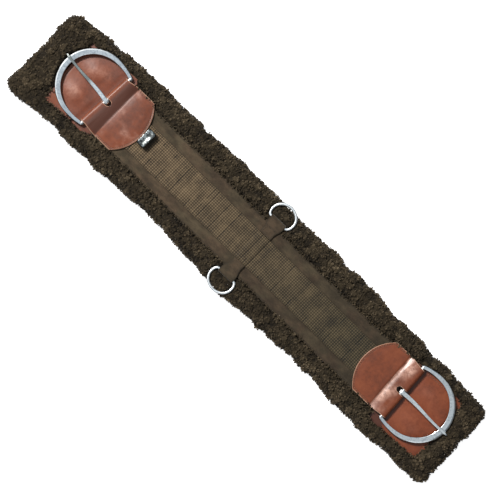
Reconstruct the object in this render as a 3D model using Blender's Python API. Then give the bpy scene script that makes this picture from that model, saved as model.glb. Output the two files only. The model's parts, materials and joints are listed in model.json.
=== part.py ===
"""Western saddle girth (cinch): a fleece-lined strap with a leather-chaped
buckle at each end, two D rings at the middle and a small metal keeper on the
web.

Frame: metres, +Z up. The girth lies flat, fleece down. +X runs along the
strap, +Y across it, the origin is the middle of the underside (z = 0 is the
face that lies against the horse). In names, left is -X, right is +X, front is
-Y and back is +Y. Dimensions below are millimetres and degrees.
"""
import math
from typing import NamedTuple

import bmesh
import bpy
from mathutils import Matrix, Vector

MM = 0.001
UP = Vector((0.0, 0.0, 1.0))
GAP = 0.3                      # clearance between neighbouring pieces
SHARP_ANGLE = 35.0             # edges steeper than this shade sharp

# ---- fleece pad -----------------------------------------------------------
PAD_HALF_LENGTH = 417.0
PAD_CORNER = 20.0              # plan radius of the pad corners
PAD_CROWN_Z = 22.0             # top of the pile border
PAD_MID_Z = 10.0               # height of the rounded rim's outermost line
PAD_RIM = 12.0                 # how far in the rim rounding reaches
# stations along the strap: x, half width on the +Y side, half width on -Y
PAD_STATIONS = [
    (-417.0, 71.0, 86.0), (-375.0, 73.0, 86.0), (-300.0, 79.0, 79.0),
    (-150.0, 80.0, 77.0), (0.0, 85.0, 85.0), (150.0, 81.0, 80.0),
    (300.0, 80.0, 81.0), (375.0, 74.0, 80.0), (417.0, 71.0, 79.0),
]
BACK_COLUMN, FRONT_COLUMN = 1, 2
# mesh lines, as distances in from the pad's ends and from its long edges
PAD_END_INSETS = [0.0, 1.2, 4.0, 8.0, 13.0, 20.0, 32.0]
PAD_EDGE_INSETS = [0.0, 1.2, 4.0, 8.0, 13.0, 30.0]
PAD_MIDDLE_STEPS = 26          # even steps between the two sets of end lines
POCKET_TOP_Z = 60.0            # pocket cutters reach well above the pad

# ---- webs -----------------------------------------------------------------
WEB_FLOOR_Z = 17.2             # fleece floor under the wide web
WEB_HALF = 44.5                # 89 mm (3 1/2 in) backing web
WEB_T = 2.0
STRIP_HALF = 25.0              # 50 mm (2 in) ribbed centre web
STRIP_T = 2.0
WEB_Z0 = WEB_FLOOR_Z + GAP
WEB_Z1 = WEB_Z0 + WEB_T
STRIP_Z0 = WEB_Z1 + GAP
STRIP_Z1 = STRIP_Z0 + STRIP_T
WEB_TO_BAR = 15.0              # each web stops this far short of the bars

# ---- leather --------------------------------------------------------------
SAFE_Z0, SAFE_T = 11.7, 2.4    # base leather under each buckle
SAFE_Z1 = SAFE_Z0 + SAFE_T
SAFE_CORNER = 7.0
LEATHER_T = 2.2                # chape leather
LOWER_Z = SAFE_Z1 + 3 * GAP    # underside of the chape lower ply
CHAPE_Y0, CHAPE_Y1 = -43.0, 50.0
CHAPE_WIDTH = CHAPE_Y1 - CHAPE_Y0
CHAPE_MID_Y = (CHAPE_Y0 + CHAPE_Y1) / 2
CHAPE_HALF = CHAPE_WIDTH / 2
CHAPE_ARC_EXTRA = 0.8          # tip arc meets the shoulders this far outside
CHAPE_FOLD_NARROW = 2.6        # each side, where the leather turns the bar
SLOT_HALF = 4.6
SLOT_BACK = 9.0                # slot runs this far behind the bar axis
SLOT_AHEAD = 14.0              # and this far beyond it

# ---- buckles --------------------------------------------------------------
BAR_R = 3.0
FOLD_R_IN = BAR_R + GAP
BAR_Z = LOWER_Z + LEATHER_T + GAP + BAR_R
BAR_END_INSET = 2.2            # bar ends lie this far inside the bow's edge
BOW_T = 5.6                    # thickness of the bow
BOW_HALF = 54.0                # outer half width, 108 mm over all
BOW_WIDEST = 28.0              # where it is widest, from the bar axis
BOW_REACH = 84.0               # bar axis to the outer tip
BOW_BAR_HALF = 50.1            # outer half width at the bar
BOW_HEEL = 3.6                 # the arms reach this far behind the bar
BOW_ARM_SHARE = 0.20           # share of the outline given to each arm
BOW_STEPS = 72
BOW_RIM_END, BOW_RIM_TIP = 4.8, 9.6
# section from outer to inner edge: share of rim width, offset across,
# face (+1 top, -1 bottom), offset in z from that face
BOW_SECTION = [
    (0.0, 0.0, -1, 0.7), (0.0, 0.0, 1, -1.5), (0.10, 0.0, 1, -0.65), (0.28, 0.0, 1, 0.0),
    (1.0, -0.7, 1, 0.0), (1.0, -0.2, 1, -0.2), (1.0, 0.0, 1, -0.7), (1.0, 0.0, -1, 0.5),
    (1.0, -0.5, -1, 0.0), (0.0, 0.7, -1, 0.0),
]
NOTCH_DEPTH = 1.0              # seat for the tongue on the bow
TONGUE_W0, TONGUE_W1 = 6.5, 4.0    # width at the eye and at the tip
TONGUE_T0, TONGUE_T1 = 2.8, 3.6    # thickness at the eye and at the tip
TONGUE_REACH = 87.5

# ---- D rings --------------------------------------------------------------
RING_WIRE_R = 2.0
RING_HALF = 19.8               # wire centre
RING_HEIGHT = 27.7             # flat bar to the top of the arch
RING_FLAT_HALF = 14.2
RING_CORNER_Y = 10.0           # flat bar to the start of the arch
RING_BAR_Y = 53.0
RING_Z = 21.2
RING_X = 5.7
RING_BED_Z = RING_Z - RING_WIRE_R - GAP
TAB_T = 1.2
TAB_HALF_IN, TAB_FLARE = 10.2, 3.4     # inner half width, gain towards the ring

# ---- keeper ---------------------------------------------------------------
KEEPER_X0, KEEPER_X1 = -218.0, -206.0
KEEPER_Y = 6.4
KEEPER_WIDTH, KEEPER_HEIGHT = 27.0, 13.0
KEEPER_CORNER, KEEPER_T = 4.0, 1.5

# ---- stitching ------------------------------------------------------------
THREAD_R = 0.5
THREAD_SIDES = 6
THREAD_LIFT = GAP + THREAD_R   # thread centre above the face it lies on
CHAPE_SEAM_INSET = 3.4
SAFE_SEAM_INSET = 4.0
SAFE_SEAM_CORNER = 4.0


class End(NamedTuple):
    """Places that differ between the two buckle ends."""
    out: float                 # X sign pointing away from the middle
    bar_x: float
    bar_y: float
    tilt: float                # turn of the bar in plan
    crease_back: float         # bar axis to the chape's crease
    crease_tilt: float
    shoulder_x: float          # chape's rounded tip: its sides
    apex_x: float              # and its point nearest the middle
    safe_x: float
    safe_y: float
    safe_length: float         # along X
    safe_width: float          # along Y
    safe_turn: float
    slew: float                # turn of the tongue towards +Y


ENDS = {
    "left": End(out=-1.0, bar_x=-291.0, bar_y=3.8, tilt=-3.8, crease_back=21.5,
                crease_tilt=0.0, shoulder_x=-240.0, apex_x=-219.0,
                safe_x=-318.7, safe_y=0.5, safe_length=91.0, safe_width=110.0,
                safe_turn=3.6, slew=2.4),
    "right": End(out=1.0, bar_x=303.0, bar_y=3.9, tilt=3.6, crease_back=23.5,
                 crease_tilt=3.6, shoulder_x=250.0, apex_x=227.0,
                 safe_x=335.0, safe_y=-1.8, safe_length=96.0, safe_width=110.0,
                 safe_turn=3.4, slew=-3.4),
}
WEB_X0 = ENDS["left"].bar_x + WEB_TO_BAR
WEB_X1 = ENDS["right"].bar_x - WEB_TO_BAR


class Finish(NamedTuple):
    colour: tuple
    roughness: float
    metallic: float = 0.0


FINISHES = {
    "pile": Finish(colour=(0.040, 0.028, 0.020), roughness=0.95),
    "band": Finish(colour=(0.095, 0.075, 0.055), roughness=0.85),
    "ribbed": Finish(colour=(0.150, 0.110, 0.070), roughness=0.80),
    "hide": Finish(colour=(0.260, 0.085, 0.045), roughness=0.45),
    "base_hide": Finish(colour=(0.300, 0.100, 0.050), roughness=0.50),
    "nickel": Finish(colour=(0.720, 0.740, 0.760), roughness=0.22, metallic=1.0),
    "thread": Finish(colour=(0.330, 0.130, 0.070), roughness=0.80),
    "dark_thread": Finish(colour=(0.070, 0.055, 0.040), roughness=0.85),
}


# ------------------------------------------------------------ scene helpers
def clear_scene():
    for ob in list(bpy.data.objects):
        bpy.data.objects.remove(ob, do_unlink=True)


def material(name, finish):
    mat = bpy.data.materials.new(name)
    mat.use_nodes = True
    shader = mat.node_tree.nodes["Principled BSDF"]
    shader.inputs["Base Color"].default_value = (*finish.colour, 1.0)
    shader.inputs["Roughness"].default_value = finish.roughness
    shader.inputs["Metallic"].default_value = finish.metallic
    mat.diffuse_color = (*finish.colour, 1.0)
    return mat


def make(name, bm, finish=None, origin=(0.0, 0.0, 0.0), smooth=True):
    """bm holds millimetres in the world frame; origin is the object's place."""
    bmesh.ops.recalc_face_normals(bm, faces=bm.faces[:])
    place = Vector(origin)
    bmesh.ops.transform(bm, matrix=Matrix.Scale(MM, 4) @ Matrix.Translation(-place),
                        verts=bm.verts[:])
    mesh = bpy.data.meshes.new(name)
    bm.to_mesh(mesh)
    bm.free()
    if smooth:
        mesh.shade_smooth()
        mesh.set_sharp_from_angle(angle=math.radians(SHARP_ANGLE))
    ob = bpy.data.objects.new(name, mesh)
    ob.location = place * MM
    bpy.context.scene.collection.objects.link(ob)
    if finish:
        mesh.materials.append(material(name + "_finish", FINISHES[finish]))
    return ob


def as_cutter(ob):
    ob.hide_render = True
    ob.display_type = "WIRE"
    return ob


def boolean(ob, other, operation="DIFFERENCE"):
    mod = ob.modifiers.new(operation.lower() + "_" + other.name, "BOOLEAN")
    mod.object = other
    mod.operation = operation
    mod.solver = "EXACT"


def bevel(ob, width, angle=40.0):
    mod = ob.modifiers.new("edge", "BEVEL")
    mod.width = width * MM
    mod.segments = 1
    mod.limit_method = "ANGLE"
    mod.angle_limit = math.radians(angle)


# ------------------------------------------------------------- mesh helpers
def smooth01(t):
    t = min(1.0, max(0.0, t))
    return t * t * (3.0 - 2.0 * t)


def grid_faces(bm, rows, close_rows=False, close_cols=False):
    n, m = len(rows), len(rows[0])
    for i in range(n if close_rows else n - 1):
        for j in range(m if close_cols else m - 1):
            a, b = rows[i], rows[(i + 1) % n]
            bm.faces.new((a[j], a[(j + 1) % m], b[(j + 1) % m], b[j]))


def tube(bm, rings):
    """Skin a run of closed rings and cap both ends."""
    grid_faces(bm, rings, close_cols=True)
    bm.faces.new(rings[0])
    bm.faces.new(list(reversed(rings[-1])))


def sweep(path, sections, closed=False, ups=None):
    """Sweep one section per station along a path. A section lists (side, up)
    offsets; side is square to the path and to the station's up direction."""
    bm = bmesh.new()
    n = len(path)
    rings = []
    for k, point in enumerate(path):
        if closed:
            ahead = path[(k + 1) % n] - path[k - 1]
        else:
            ahead = path[min(k + 1, n - 1)] - path[max(k - 1, 0)]
        ahead.normalize()
        side = ahead.cross(ups[k] if ups else UP).normalized()
        up = side.cross(ahead).normalized()
        rings.append([bm.verts.new(point + side * a + up * b) for a, b in sections[k]])
    if closed:
        grid_faces(bm, rings, close_rows=True, close_cols=True)
    else:
        tube(bm, rings)
    return bm


def wire(path, radius, sides, closed=False):
    angles = [2 * math.pi * i / sides for i in range(sides)]
    section = [(radius * math.cos(a), radius * math.sin(a)) for a in angles]
    return sweep(path, [section] * len(path), closed)


def folded_sheet(rows, thickness):
    """A sheet of even thickness; rows hold (mid point, normal) pairs."""
    half = thickness / 2
    bm = bmesh.new()
    outer, inner = [], []
    for row in rows:
        outer.append([bm.verts.new(point + normal * half) for point, normal in row])
        inner.append([bm.verts.new(point - normal * half) for point, normal in row])
    grid_faces(bm, outer)
    grid_faces(bm, inner)
    for i in (0, -1):
        for j in range(len(rows[0]) - 1):
            bm.faces.new((outer[i][j], outer[i][j + 1], inner[i][j + 1], inner[i][j]))
    for j in (0, -1):
        for i in range(len(rows) - 1):
            bm.faces.new((outer[i][j], outer[i + 1][j], inner[i + 1][j], inner[i][j]))
    return bm


def slab(outline, z0, z1):
    """A flat plate from a plan outline, extruded from z0 to z1."""
    bm = bmesh.new()
    face = bm.faces.new([bm.verts.new((x, y, z0)) for x, y in outline])
    extruded = bmesh.ops.extrude_face_region(bm, geom=[face])
    top = [v for v in extruded["geom"] if isinstance(v, bmesh.types.BMVert)]
    bmesh.ops.translate(bm, verts=top, vec=(0.0, 0.0, z1 - z0))
    return bm


def slab_cutter(name, outline, z0, z1):
    return as_cutter(make(name, slab(outline, z0, z1), smooth=False))


def rectangle(x0, x1, half):
    return [(x0, -half), (x1, -half), (x1, half), (x0, half)]


def rounded_rect(cx, cy, length, width, radius, turn=0.0, steps=4):
    points = []
    for sx, sy, start in ((1, 1, 0), (-1, 1, 90), (-1, -1, 180), (1, -1, 270)):
        for i in range(steps + 1):
            a = math.radians(start + 90.0 * i / steps)
            points.append((sx * (length / 2 - radius) + radius * math.cos(a),
                           sy * (width / 2 - radius) + radius * math.sin(a)))
    c, s = math.cos(math.radians(turn)), math.sin(math.radians(turn))
    return [(cx + c * x - s * y, cy + s * x + c * y) for x, y in points]


# ---------------------------------------------------------------- fleece pad
def pad_width(x, column):
    for a, b in zip(PAD_STATIONS, PAD_STATIONS[1:]):
        if a[0] <= x <= b[0]:
            t = smooth01((x - a[0]) / (b[0] - a[0]))
            return a[column] + (b[column] - a[column]) * t
    return PAD_STATIONS[-1][column]


def pad_half(x, column):
    """Half width with the rounded corners."""
    to_end = PAD_HALF_LENGTH - abs(x)
    half = pad_width(x, column)
    if to_end < PAD_CORNER:
        chord = PAD_CORNER ** 2 - (PAD_CORNER - to_end) ** 2
        half -= PAD_CORNER - math.sqrt(max(0.0, chord))
    return half


def pad_x_stations():
    inner = PAD_HALF_LENGTH - PAD_END_INSETS[-1]
    xs = [-PAD_HALF_LENGTH + inset for inset in PAD_END_INSETS]
    xs += [-inner + 2.0 * inner * i / PAD_MIDDLE_STEPS for i in range(1, PAD_MIDDLE_STEPS)]
    xs += [PAD_HALF_LENGTH - inset for inset in reversed(PAD_END_INSETS)]
    return xs


def fleece_pad():
    """Top and bottom skins that share their vertices round the rim."""
    bm = bmesh.new()
    tops, bottoms = [], []
    for x in pad_x_stations():
        back, front = pad_half(x, BACK_COLUMN), pad_half(x, FRONT_COLUMN)
        ys = [-front + inset for inset in PAD_EDGE_INSETS] + [0.0]
        ys += [back - inset for inset in reversed(PAD_EDGE_INSETS)]
        top, bottom = [], []
        for y in ys:
            depth = min(PAD_HALF_LENGTH - abs(x), back - y, y + front)
            rise = math.sqrt(max(0.0, 1.0 - (1.0 - min(depth, PAD_RIM) / PAD_RIM) ** 2))
            if depth < 1e-6:
                rim = bm.verts.new((x, y, PAD_MID_Z))
                top.append(rim)
                bottom.append(rim)
            else:
                top.append(bm.verts.new((x, y, PAD_MID_Z + (PAD_CROWN_Z - PAD_MID_Z) * rise)))
                bottom.append(bm.verts.new((x, y, PAD_MID_Z - PAD_MID_Z * rise)))
        tops.append(top)
        bottoms.append(bottom)
    grid_faces(bm, tops)
    grid_faces(bm, bottoms)
    return make("fleece_lining", bm, "pile")


def cut_pocket(pad, name, outline, floor):
    boolean(pad, slab_cutter(name, outline, floor, POCKET_TOP_Z))


def cut_end_pockets(pad, side, end):
    cut_pocket(pad, "safe_pocket_" + side,
               rounded_rect(end.safe_x, end.safe_y, end.safe_length + 0.8,
                            end.safe_width + 0.8, SAFE_CORNER + 0.4, end.safe_turn, 3),
               SAFE_Z0 - GAP)
    # under the chape's lower ply
    inner_x = end.apex_x - end.out * 0.7
    outer_x = end.bar_x - end.out * 12.0
    cut_pocket(pad, "chape_pocket_" + side,
               rounded_rect((inner_x + outer_x) / 2, CHAPE_MID_Y,
                            abs(inner_x - outer_x), CHAPE_WIDTH + 1.0, 2.0),
               LOWER_Z - GAP)
    # bed of the bow: its outline, scaled up for clearance
    grow_out, grow_across = 1 + 2.0 / BOW_REACH, 1 + 1.8 / BOW_HALF
    bow = [bow_outer(k / 24) for k in range(25)]
    cut_pocket(pad, "bow_bed_" + side,
               plan_from_bar(end, [(x * grow_out, y * grow_across) for x, y in bow]),
               BAR_Z - BOW_T / 2 - GAP)
    # room for the heels of the arms and the eye of the tongue to turn
    cut_pocket(pad, "heel_bed_" + side,
               rounded_rect(end.bar_x + end.out, end.bar_y, 17.0, 113.0, 3.0, end.tilt),
               BAR_Z - 6.4)
    # bed of the tongue's tip
    slope = math.tan(math.radians(end.slew))
    tip = bar_point(end, TONGUE_REACH - 6.0, slope * (TONGUE_REACH - 4.0))
    cut_pocket(pad, "tip_bed_" + side,
               rounded_rect(tip.x, tip.y, 24.0, 14.0, 3.0, end.tilt), 19.3)


def cut_web_channel(pad):
    cut_pocket(pad, "web_channel",
               rectangle(WEB_X0 - 1.0, WEB_X1 + 1.0, WEB_HALF + 0.4), WEB_FLOOR_Z)


def cut_ring_pockets(pad, name, sign):
    cut_pocket(pad, "ring_bed_" + name,
               rounded_rect(RING_X, sign * 68.6, 2 * RING_HALF + 9.0, 49.4, 5.0), RING_BED_Z)
    cut_pocket(pad, "tab_bed_" + name,
               rounded_rect(RING_X, sign * 49.0, 30.0, 17.0, 2.0), RING_BED_Z - TAB_T - GAP)


# ------------------------------------------------------------------ bar frame
def bar_frame(end):
    """Origin on the bar, then the outward and along-the-bar directions."""
    a = math.radians(end.tilt)
    outward = Vector((math.cos(a), math.sin(a), 0.0)) * end.out
    along = Vector((-math.sin(a), math.cos(a), 0.0))
    return Vector((end.bar_x, end.bar_y, BAR_Z)), outward, along


def bar_point(end, x, y, z=0.0):
    """World place of a point given outward, along and above the bar."""
    origin, outward, along = bar_frame(end)
    return origin + outward * x + along * y + UP * z


def plan_from_bar(end, outline):
    return [bar_point(end, x, y).xy for x, y in outline]


# --------------------------------------------------------------------- chape
def bar_line_x(end, y):
    return end.bar_x - math.tan(math.radians(end.tilt)) * (y - end.bar_y)


def crease_x(end, y):
    x = end.bar_x - end.out * end.crease_back
    return x - math.tan(math.radians(end.crease_tilt)) * (y - end.bar_y)


def chape_tip_x(end, y):
    """Rounded end: an arc across nearly the full width."""
    half = CHAPE_HALF + CHAPE_ARC_EXTRA
    rise = abs(end.shoulder_x - end.apex_x)
    radius = (half ** 2 + rise ** 2) / (2 * rise)
    sag = radius - math.sqrt(max(0.0, radius ** 2 - (y - CHAPE_MID_Y) ** 2))
    return end.apex_x + end.out * sag


def upper_ply_z(y):
    """Underside of the chape's upper ply behind the crease: it lies on the
    centre web in the middle and steps down on to the wide web at the sides."""
    down = smooth01((abs(y) - (STRIP_HALF + 1.0)) / 8.0)
    return (STRIP_Z1 + GAP) + (WEB_Z1 - STRIP_Z1) * down


def chape_line(end, y_full):
    """Mid points and normals of one line: lower ply, fold, upper ply."""
    fold_steps, slope_steps, tip_steps = 12, 6, 5
    fold_r = FOLD_R_IN + LEATHER_T / 2
    squeeze = 1.0 - CHAPE_FOLD_NARROW / CHAPE_HALF
    y_fold = CHAPE_MID_Y + (y_full - CHAPE_MID_Y) * squeeze
    bar_x = bar_line_x(end, y_fold)
    fold_x = crease_x(end, y_full)
    tip_x = chape_tip_x(end, y_full)
    lower_z = LOWER_Z + LEATHER_T / 2
    upper_z = upper_ply_z(y_full) + LEATHER_T / 2
    line = []
    for k in range(tip_steps + 1):             # lower ply, tip to bar
        t = k / (tip_steps + 1)
        y = y_full + (y_fold - y_full) * smooth01((t - 0.6) / 0.35)
        line.append((Vector((tip_x + (bar_x - tip_x) * t, y, lower_z)), -UP))
    for k in range(fold_steps + 1):            # round the bar
        a = -math.pi / 2 + math.pi * k / fold_steps
        normal = Vector((end.out * math.cos(a), 0.0, math.sin(a)))
        line.append((Vector((bar_x, y_fold, BAR_Z)) + normal * fold_r, normal))
    top_z = BAR_Z + fold_r
    for k in range(1, slope_steps + 1):        # down to the crease
        t = k / slope_steps
        z = top_z + (upper_z - top_z) * smooth01(t) ** 1.3
        y = y_fold + (y_full - y_fold) * smooth01(t)
        line.append((Vector((bar_x + (fold_x - bar_x) * t, y, z)), UP))
    for k in range(1, tip_steps + 1):          # to the rounded tip
        x = fold_x + (tip_x - fold_x) * k / tip_steps
        line.append((Vector((x, y_full, upper_z)), UP))
    return line


def chape(side, end):
    across = 26
    rows = [chape_line(end, CHAPE_Y0 + CHAPE_WIDTH * (i / across)) for i in range(across + 1)]
    ob = make("chape_" + side, folded_sheet(rows, LEATHER_T), "hide")
    # slot for the tongue, through the whole fold
    slot_x = end.bar_x + end.out * (SLOT_AHEAD - SLOT_BACK) / 2
    slot = rounded_rect(slot_x, end.bar_y, SLOT_AHEAD + SLOT_BACK, 2 * SLOT_HALF, 3.0, end.tilt)
    boolean(ob, slab_cutter("slot_cutter_" + side, slot, 5.0, 50.0))


def safe(side, end):
    """Base leather plate under the buckle."""
    outline = rounded_rect(end.safe_x, end.safe_y, end.safe_length, end.safe_width,
                           SAFE_CORNER, end.safe_turn, 3)
    ob = make("safe_" + side, slab(outline, SAFE_Z0, SAFE_Z1), "base_hide")
    bevel(ob, 0.6)


# -------------------------------------------------------------------- buckle
def bow_outer(q):
    """Outer edge of the bow in the bar's frame, for q from 0 (heel on the +Y
    side) to 1 (heel on the -Y side): two elliptical arms, then a half ellipse."""
    if BOW_ARM_SHARE <= q <= 1.0 - BOW_ARM_SHARE:
        t = (q - BOW_ARM_SHARE) / (1.0 - 2 * BOW_ARM_SHARE)
        a = math.pi / 2 - math.pi * t
        return BOW_WIDEST + (BOW_REACH - BOW_WIDEST) * math.cos(a), BOW_HALF * math.sin(a)
    # the arms' ellipse passes through the half width at the bar
    stretch = BOW_WIDEST / math.sqrt(1.0 - (BOW_BAR_HALF / BOW_HALF) ** 2)
    start = math.acos((BOW_WIDEST + BOW_HEEL) / stretch)
    t = min(q, 1.0 - q) / BOW_ARM_SHARE
    a = start + (math.pi / 2 - start) * t
    y = BOW_HALF * math.sin(a)
    return BOW_WIDEST - stretch * math.cos(a), y if q < 0.5 else -y


def bow(end):
    centre = Vector((BOW_WIDEST, 0.0, 0.0))
    edge = [Vector((*bow_outer(k / BOW_STEPS), 0.0)) for k in range(BOW_STEPS + 1)]
    bm = bmesh.new()
    rings = []
    for k, point in enumerate(edge):
        ahead = edge[min(k + 1, BOW_STEPS)] - edge[max(k - 1, 0)]
        ahead.normalize()
        inward = Vector((ahead.y, -ahead.x, 0.0))
        if inward.dot(centre - point) < 0.0:
            inward = -inward
        swell = math.sin(math.pi * k / BOW_STEPS) ** 2
        width = BOW_RIM_END + (BOW_RIM_TIP - BOW_RIM_END) * swell
        # the arms end in rounded heels behind the bar
        heel = min(1.0, min(k, BOW_STEPS - k) / 2.0)
        shrink = 0.45 + 0.55 * math.sqrt(1.0 - (1.0 - heel) ** 2)
        half_t = BOW_T / 2 * shrink
        ring = []
        for share, offset, face, rise in BOW_SECTION:
            across = width / 2 + (share * width + offset - width / 2) * shrink
            place = point + inward * across
            ring.append(bm.verts.new(bar_point(end, place.x, place.y, face * half_t + rise)))
        rings.append(ring)
    tube(bm, rings)
    return bm


def buckle_bar(end):
    origin, outward, along = bar_frame(end)
    bm = bmesh.new()
    bmesh.ops.create_cone(bm, cap_ends=True, segments=28, radius1=BAR_R, radius2=BAR_R,
                          depth=2 * (BOW_BAR_HALF - BAR_END_INSET))
    turn = Matrix((outward, UP, along)).transposed().to_4x4()
    bmesh.ops.transform(bm, matrix=Matrix.Translation(origin) @ turn, verts=bm.verts[:])
    return bm


def buckle_frame(side, end):
    origin = bar_frame(end)[0]
    ob = make("buckle_frame_" + side, bow(end), "nickel", origin)
    bar = as_cutter(make("bar_guide_" + side, buckle_bar(end), origin=origin))
    boolean(ob, bar, "UNION")
    # shallow seat for the tongue on the crown of the bow
    slope = math.tan(math.radians(end.slew))
    seat = rounded_rect(BOW_REACH - 4.0, slope * BOW_REACH * 0.9, 30.0, TONGUE_W1 + 1.6, 1.2)
    boolean(ob, slab_cutter("seat_cutter_" + side, plan_from_bar(end, seat),
                            BAR_Z + BOW_T / 2 - NOTCH_DEPTH, BAR_Z + 12.0))


def rounded_oblong(width, thickness, sides=14):
    """Superellipse section, squarer than an ellipse."""
    points = []
    for i in range(sides):
        a = 2 * math.pi * (i + 0.5) / sides
        c, s = math.cos(a), math.sin(a)
        points.append((width / 2 * math.copysign(abs(c) ** 0.62, c),
                       thickness / 2 * math.copysign(abs(s) ** 0.72, s)))
    return points


def tongue(side, end):
    origin, outward, _ = bar_frame(end)
    eye_r = FOLD_R_IN + TONGUE_T0 / 2
    eye_steps, shank_steps = 24, 30
    path, ups, sections = [], [], []
    for k in range(eye_steps + 1):              # eye round the bar
        a = math.radians(-25.0 - 245.0 * k / eye_steps)
        normal = outward * math.cos(a) + UP * math.sin(a)
        path.append(origin + normal * eye_r)
        ups.append(normal)
        sections.append(rounded_oblong(TONGUE_W0, TONGUE_T0))
    slope = math.tan(math.radians(end.slew))
    seat_z = BOW_T / 2 - NOTCH_DEPTH + GAP + TONGUE_T1 / 2
    for k in range(1, shank_steps + 1):         # shank, down to the seat
        t = k / shank_steps
        reach = TONGUE_REACH * t
        sway = 0.9 * math.sin(2 * math.pi * t) * (1.0 - 0.3 * t)
        droop = 0.9 * max(0.0, (reach - (BOW_REACH + 0.5)) / 6.0) ** 2
        z = eye_r + (seat_z - eye_r) * smooth01(t * 1.05) - droop
        taper = smooth01(t * 1.2)
        tip = 1.0 if t < 0.93 else max(0.45, 1.0 - ((t - 0.93) / 0.07) ** 2 * 0.55)
        path.append(bar_point(end, reach, slope * reach + sway, z))
        ups.append(UP)
        sections.append(rounded_oblong((TONGUE_W0 + (TONGUE_W1 - TONGUE_W0) * taper) * tip,
                                       (TONGUE_T0 + (TONGUE_T1 - TONGUE_T0) * taper) * tip))
    make("tongue_" + side, sweep(path, sections, ups=ups), "nickel", origin)


# ------------------------------------------------------------ middle pieces
def web_plate(name, half, z0, z1, finish):
    ob = make(name, slab(rectangle(WEB_X0, WEB_X1, half), z0, z1), finish)
    bevel(ob, 0.5)


def ring_path(sign):
    flat_steps, corner_steps, arch_steps = 3, 8, 30
    corner_x = RING_HALF - RING_FLAT_HALF
    points = []
    for k in range(flat_steps):
        points.append((-RING_FLAT_HALF + 2 * RING_FLAT_HALF * k / flat_steps, 0.0))
    for k in range(corner_steps):
        a = math.pi / 2 * k / corner_steps
        points.append((RING_FLAT_HALF + corner_x * math.sin(a),
                       RING_CORNER_Y - RING_CORNER_Y * math.cos(a)))
    for k in range(arch_steps):
        a = math.pi * k / arch_steps
        points.append((RING_HALF * math.cos(a),
                       RING_CORNER_Y + (RING_HEIGHT - RING_CORNER_Y) * math.sin(a)))
    for k in range(corner_steps):
        a = math.pi / 2 * (1 - k / corner_steps)
        points.append((-RING_FLAT_HALF - corner_x * math.sin(a),
                       RING_CORNER_Y - RING_CORNER_Y * math.cos(a)))
    return [Vector((RING_X + x, sign * (RING_BAR_Y + y), RING_Z)) for x, y in points]


def d_ring(name, sign):
    make("d_ring_" + name, wire(ring_path(sign), RING_WIRE_R, 14, closed=True), "nickel",
         (RING_X, sign * RING_BAR_Y, RING_Z))


def ring_tab(name, sign):
    """A short folded strip that holds the ring's flat bar."""
    fold_r = RING_WIRE_R + GAP + TAB_T / 2
    low = WEB_Z1 + GAP + TAB_T / 2
    high = low + TAB_T + GAP
    y_in = STRIP_HALF + 0.7
    # profile: y, z, then the normal's y and z
    profile = [(y_in, low, 0.0, -1.0), (36.0, low, 0.0, -1.0), (45.8, low, 0.0, -1.0),
               (49.5, (low + RING_Z - fold_r) / 2 - 0.35, 0.0, -1.0)]
    for k in range(9):
        a = -math.pi / 2 + math.pi * k / 8
        c, s = math.cos(a), math.sin(a)
        profile.append((RING_BAR_Y + fold_r * c, RING_Z + fold_r * s, c, s))
    profile += [(49.5, (high + RING_Z + fold_r) / 2, 0.0, 1.0), (45.0, high + 0.1, 0.0, 1.0),
                (36.0, high, 0.0, 1.0), (y_in, high, 0.0, 1.0)]
    rows = []
    for share in (-1.0, -0.33, 0.33, 1.0):
        row = []
        for y, z, ny, nz in profile:
            half = TAB_HALF_IN + TAB_FLARE * smooth01((y - 34.0) / 14.0)
            row.append((Vector((RING_X + share * half, sign * y, z)),
                        Vector((0.0, sign * ny, nz))))
        rows.append(row)
    make("ring_tab_" + name, folded_sheet(rows, TAB_T), "band")


def keeper_loop():
    """Bent metal band, a closed rounded rectangle seen along the strap."""
    mid_z = STRIP_Z1 + GAP + KEEPER_HEIGHT / 2
    outer = rounded_rect(KEEPER_Y, mid_z, KEEPER_WIDTH, KEEPER_HEIGHT, KEEPER_CORNER, steps=8)
    inner = rounded_rect(KEEPER_Y, mid_z, KEEPER_WIDTH - 2 * KEEPER_T,
                         KEEPER_HEIGHT - 2 * KEEPER_T, KEEPER_CORNER - KEEPER_T, steps=8)
    bm = bmesh.new()
    loops = []
    for points, x in ((outer, KEEPER_X0), (outer, KEEPER_X1),
                      (inner, KEEPER_X1), (inner, KEEPER_X0)):
        loops.append([bm.verts.new((x, y, z)) for y, z in points])
    grid_faces(bm, loops, close_rows=True, close_cols=True)
    ob = make("keeper_loop", bm, "nickel")
    bevel(ob, 0.35, 60.0)


# ---------------------------------------------------------------- stitching
def thread(name, path, finish="thread", closed=False):
    make(name, wire(path, THREAD_R, THREAD_SIDES, closed), finish)


def chape_seam(side, end):
    """Up one edge from the crease, round the tip and back down the other."""
    def tip_x(y):
        return chape_tip_x(end, y) + end.out * CHAPE_SEAM_INSET

    def on_ply(x, y):
        return Vector((x, y, upper_ply_z(y) + LEATHER_T + THREAD_LIFT))

    edges = []
    for y in (CHAPE_Y1 - CHAPE_SEAM_INSET, CHAPE_Y0 + CHAPE_SEAM_INSET):
        start = crease_x(end, y) - end.out * 3.0
        stop = tip_x(y) + end.out * 3.6
        edges.append([on_ply(start + (stop - start) * k / 4, y) for k in range(5)])
    arc = []
    arc_half = CHAPE_HALF - CHAPE_SEAM_INSET - 2.6
    for k in range(27):
        y = CHAPE_MID_Y + arc_half * (1.0 - 2.0 * k / 26)
        arc.append(on_ply(tip_x(y), y))
    thread("chape_seam_" + side, edges[0] + arc + edges[1][::-1])


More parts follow.
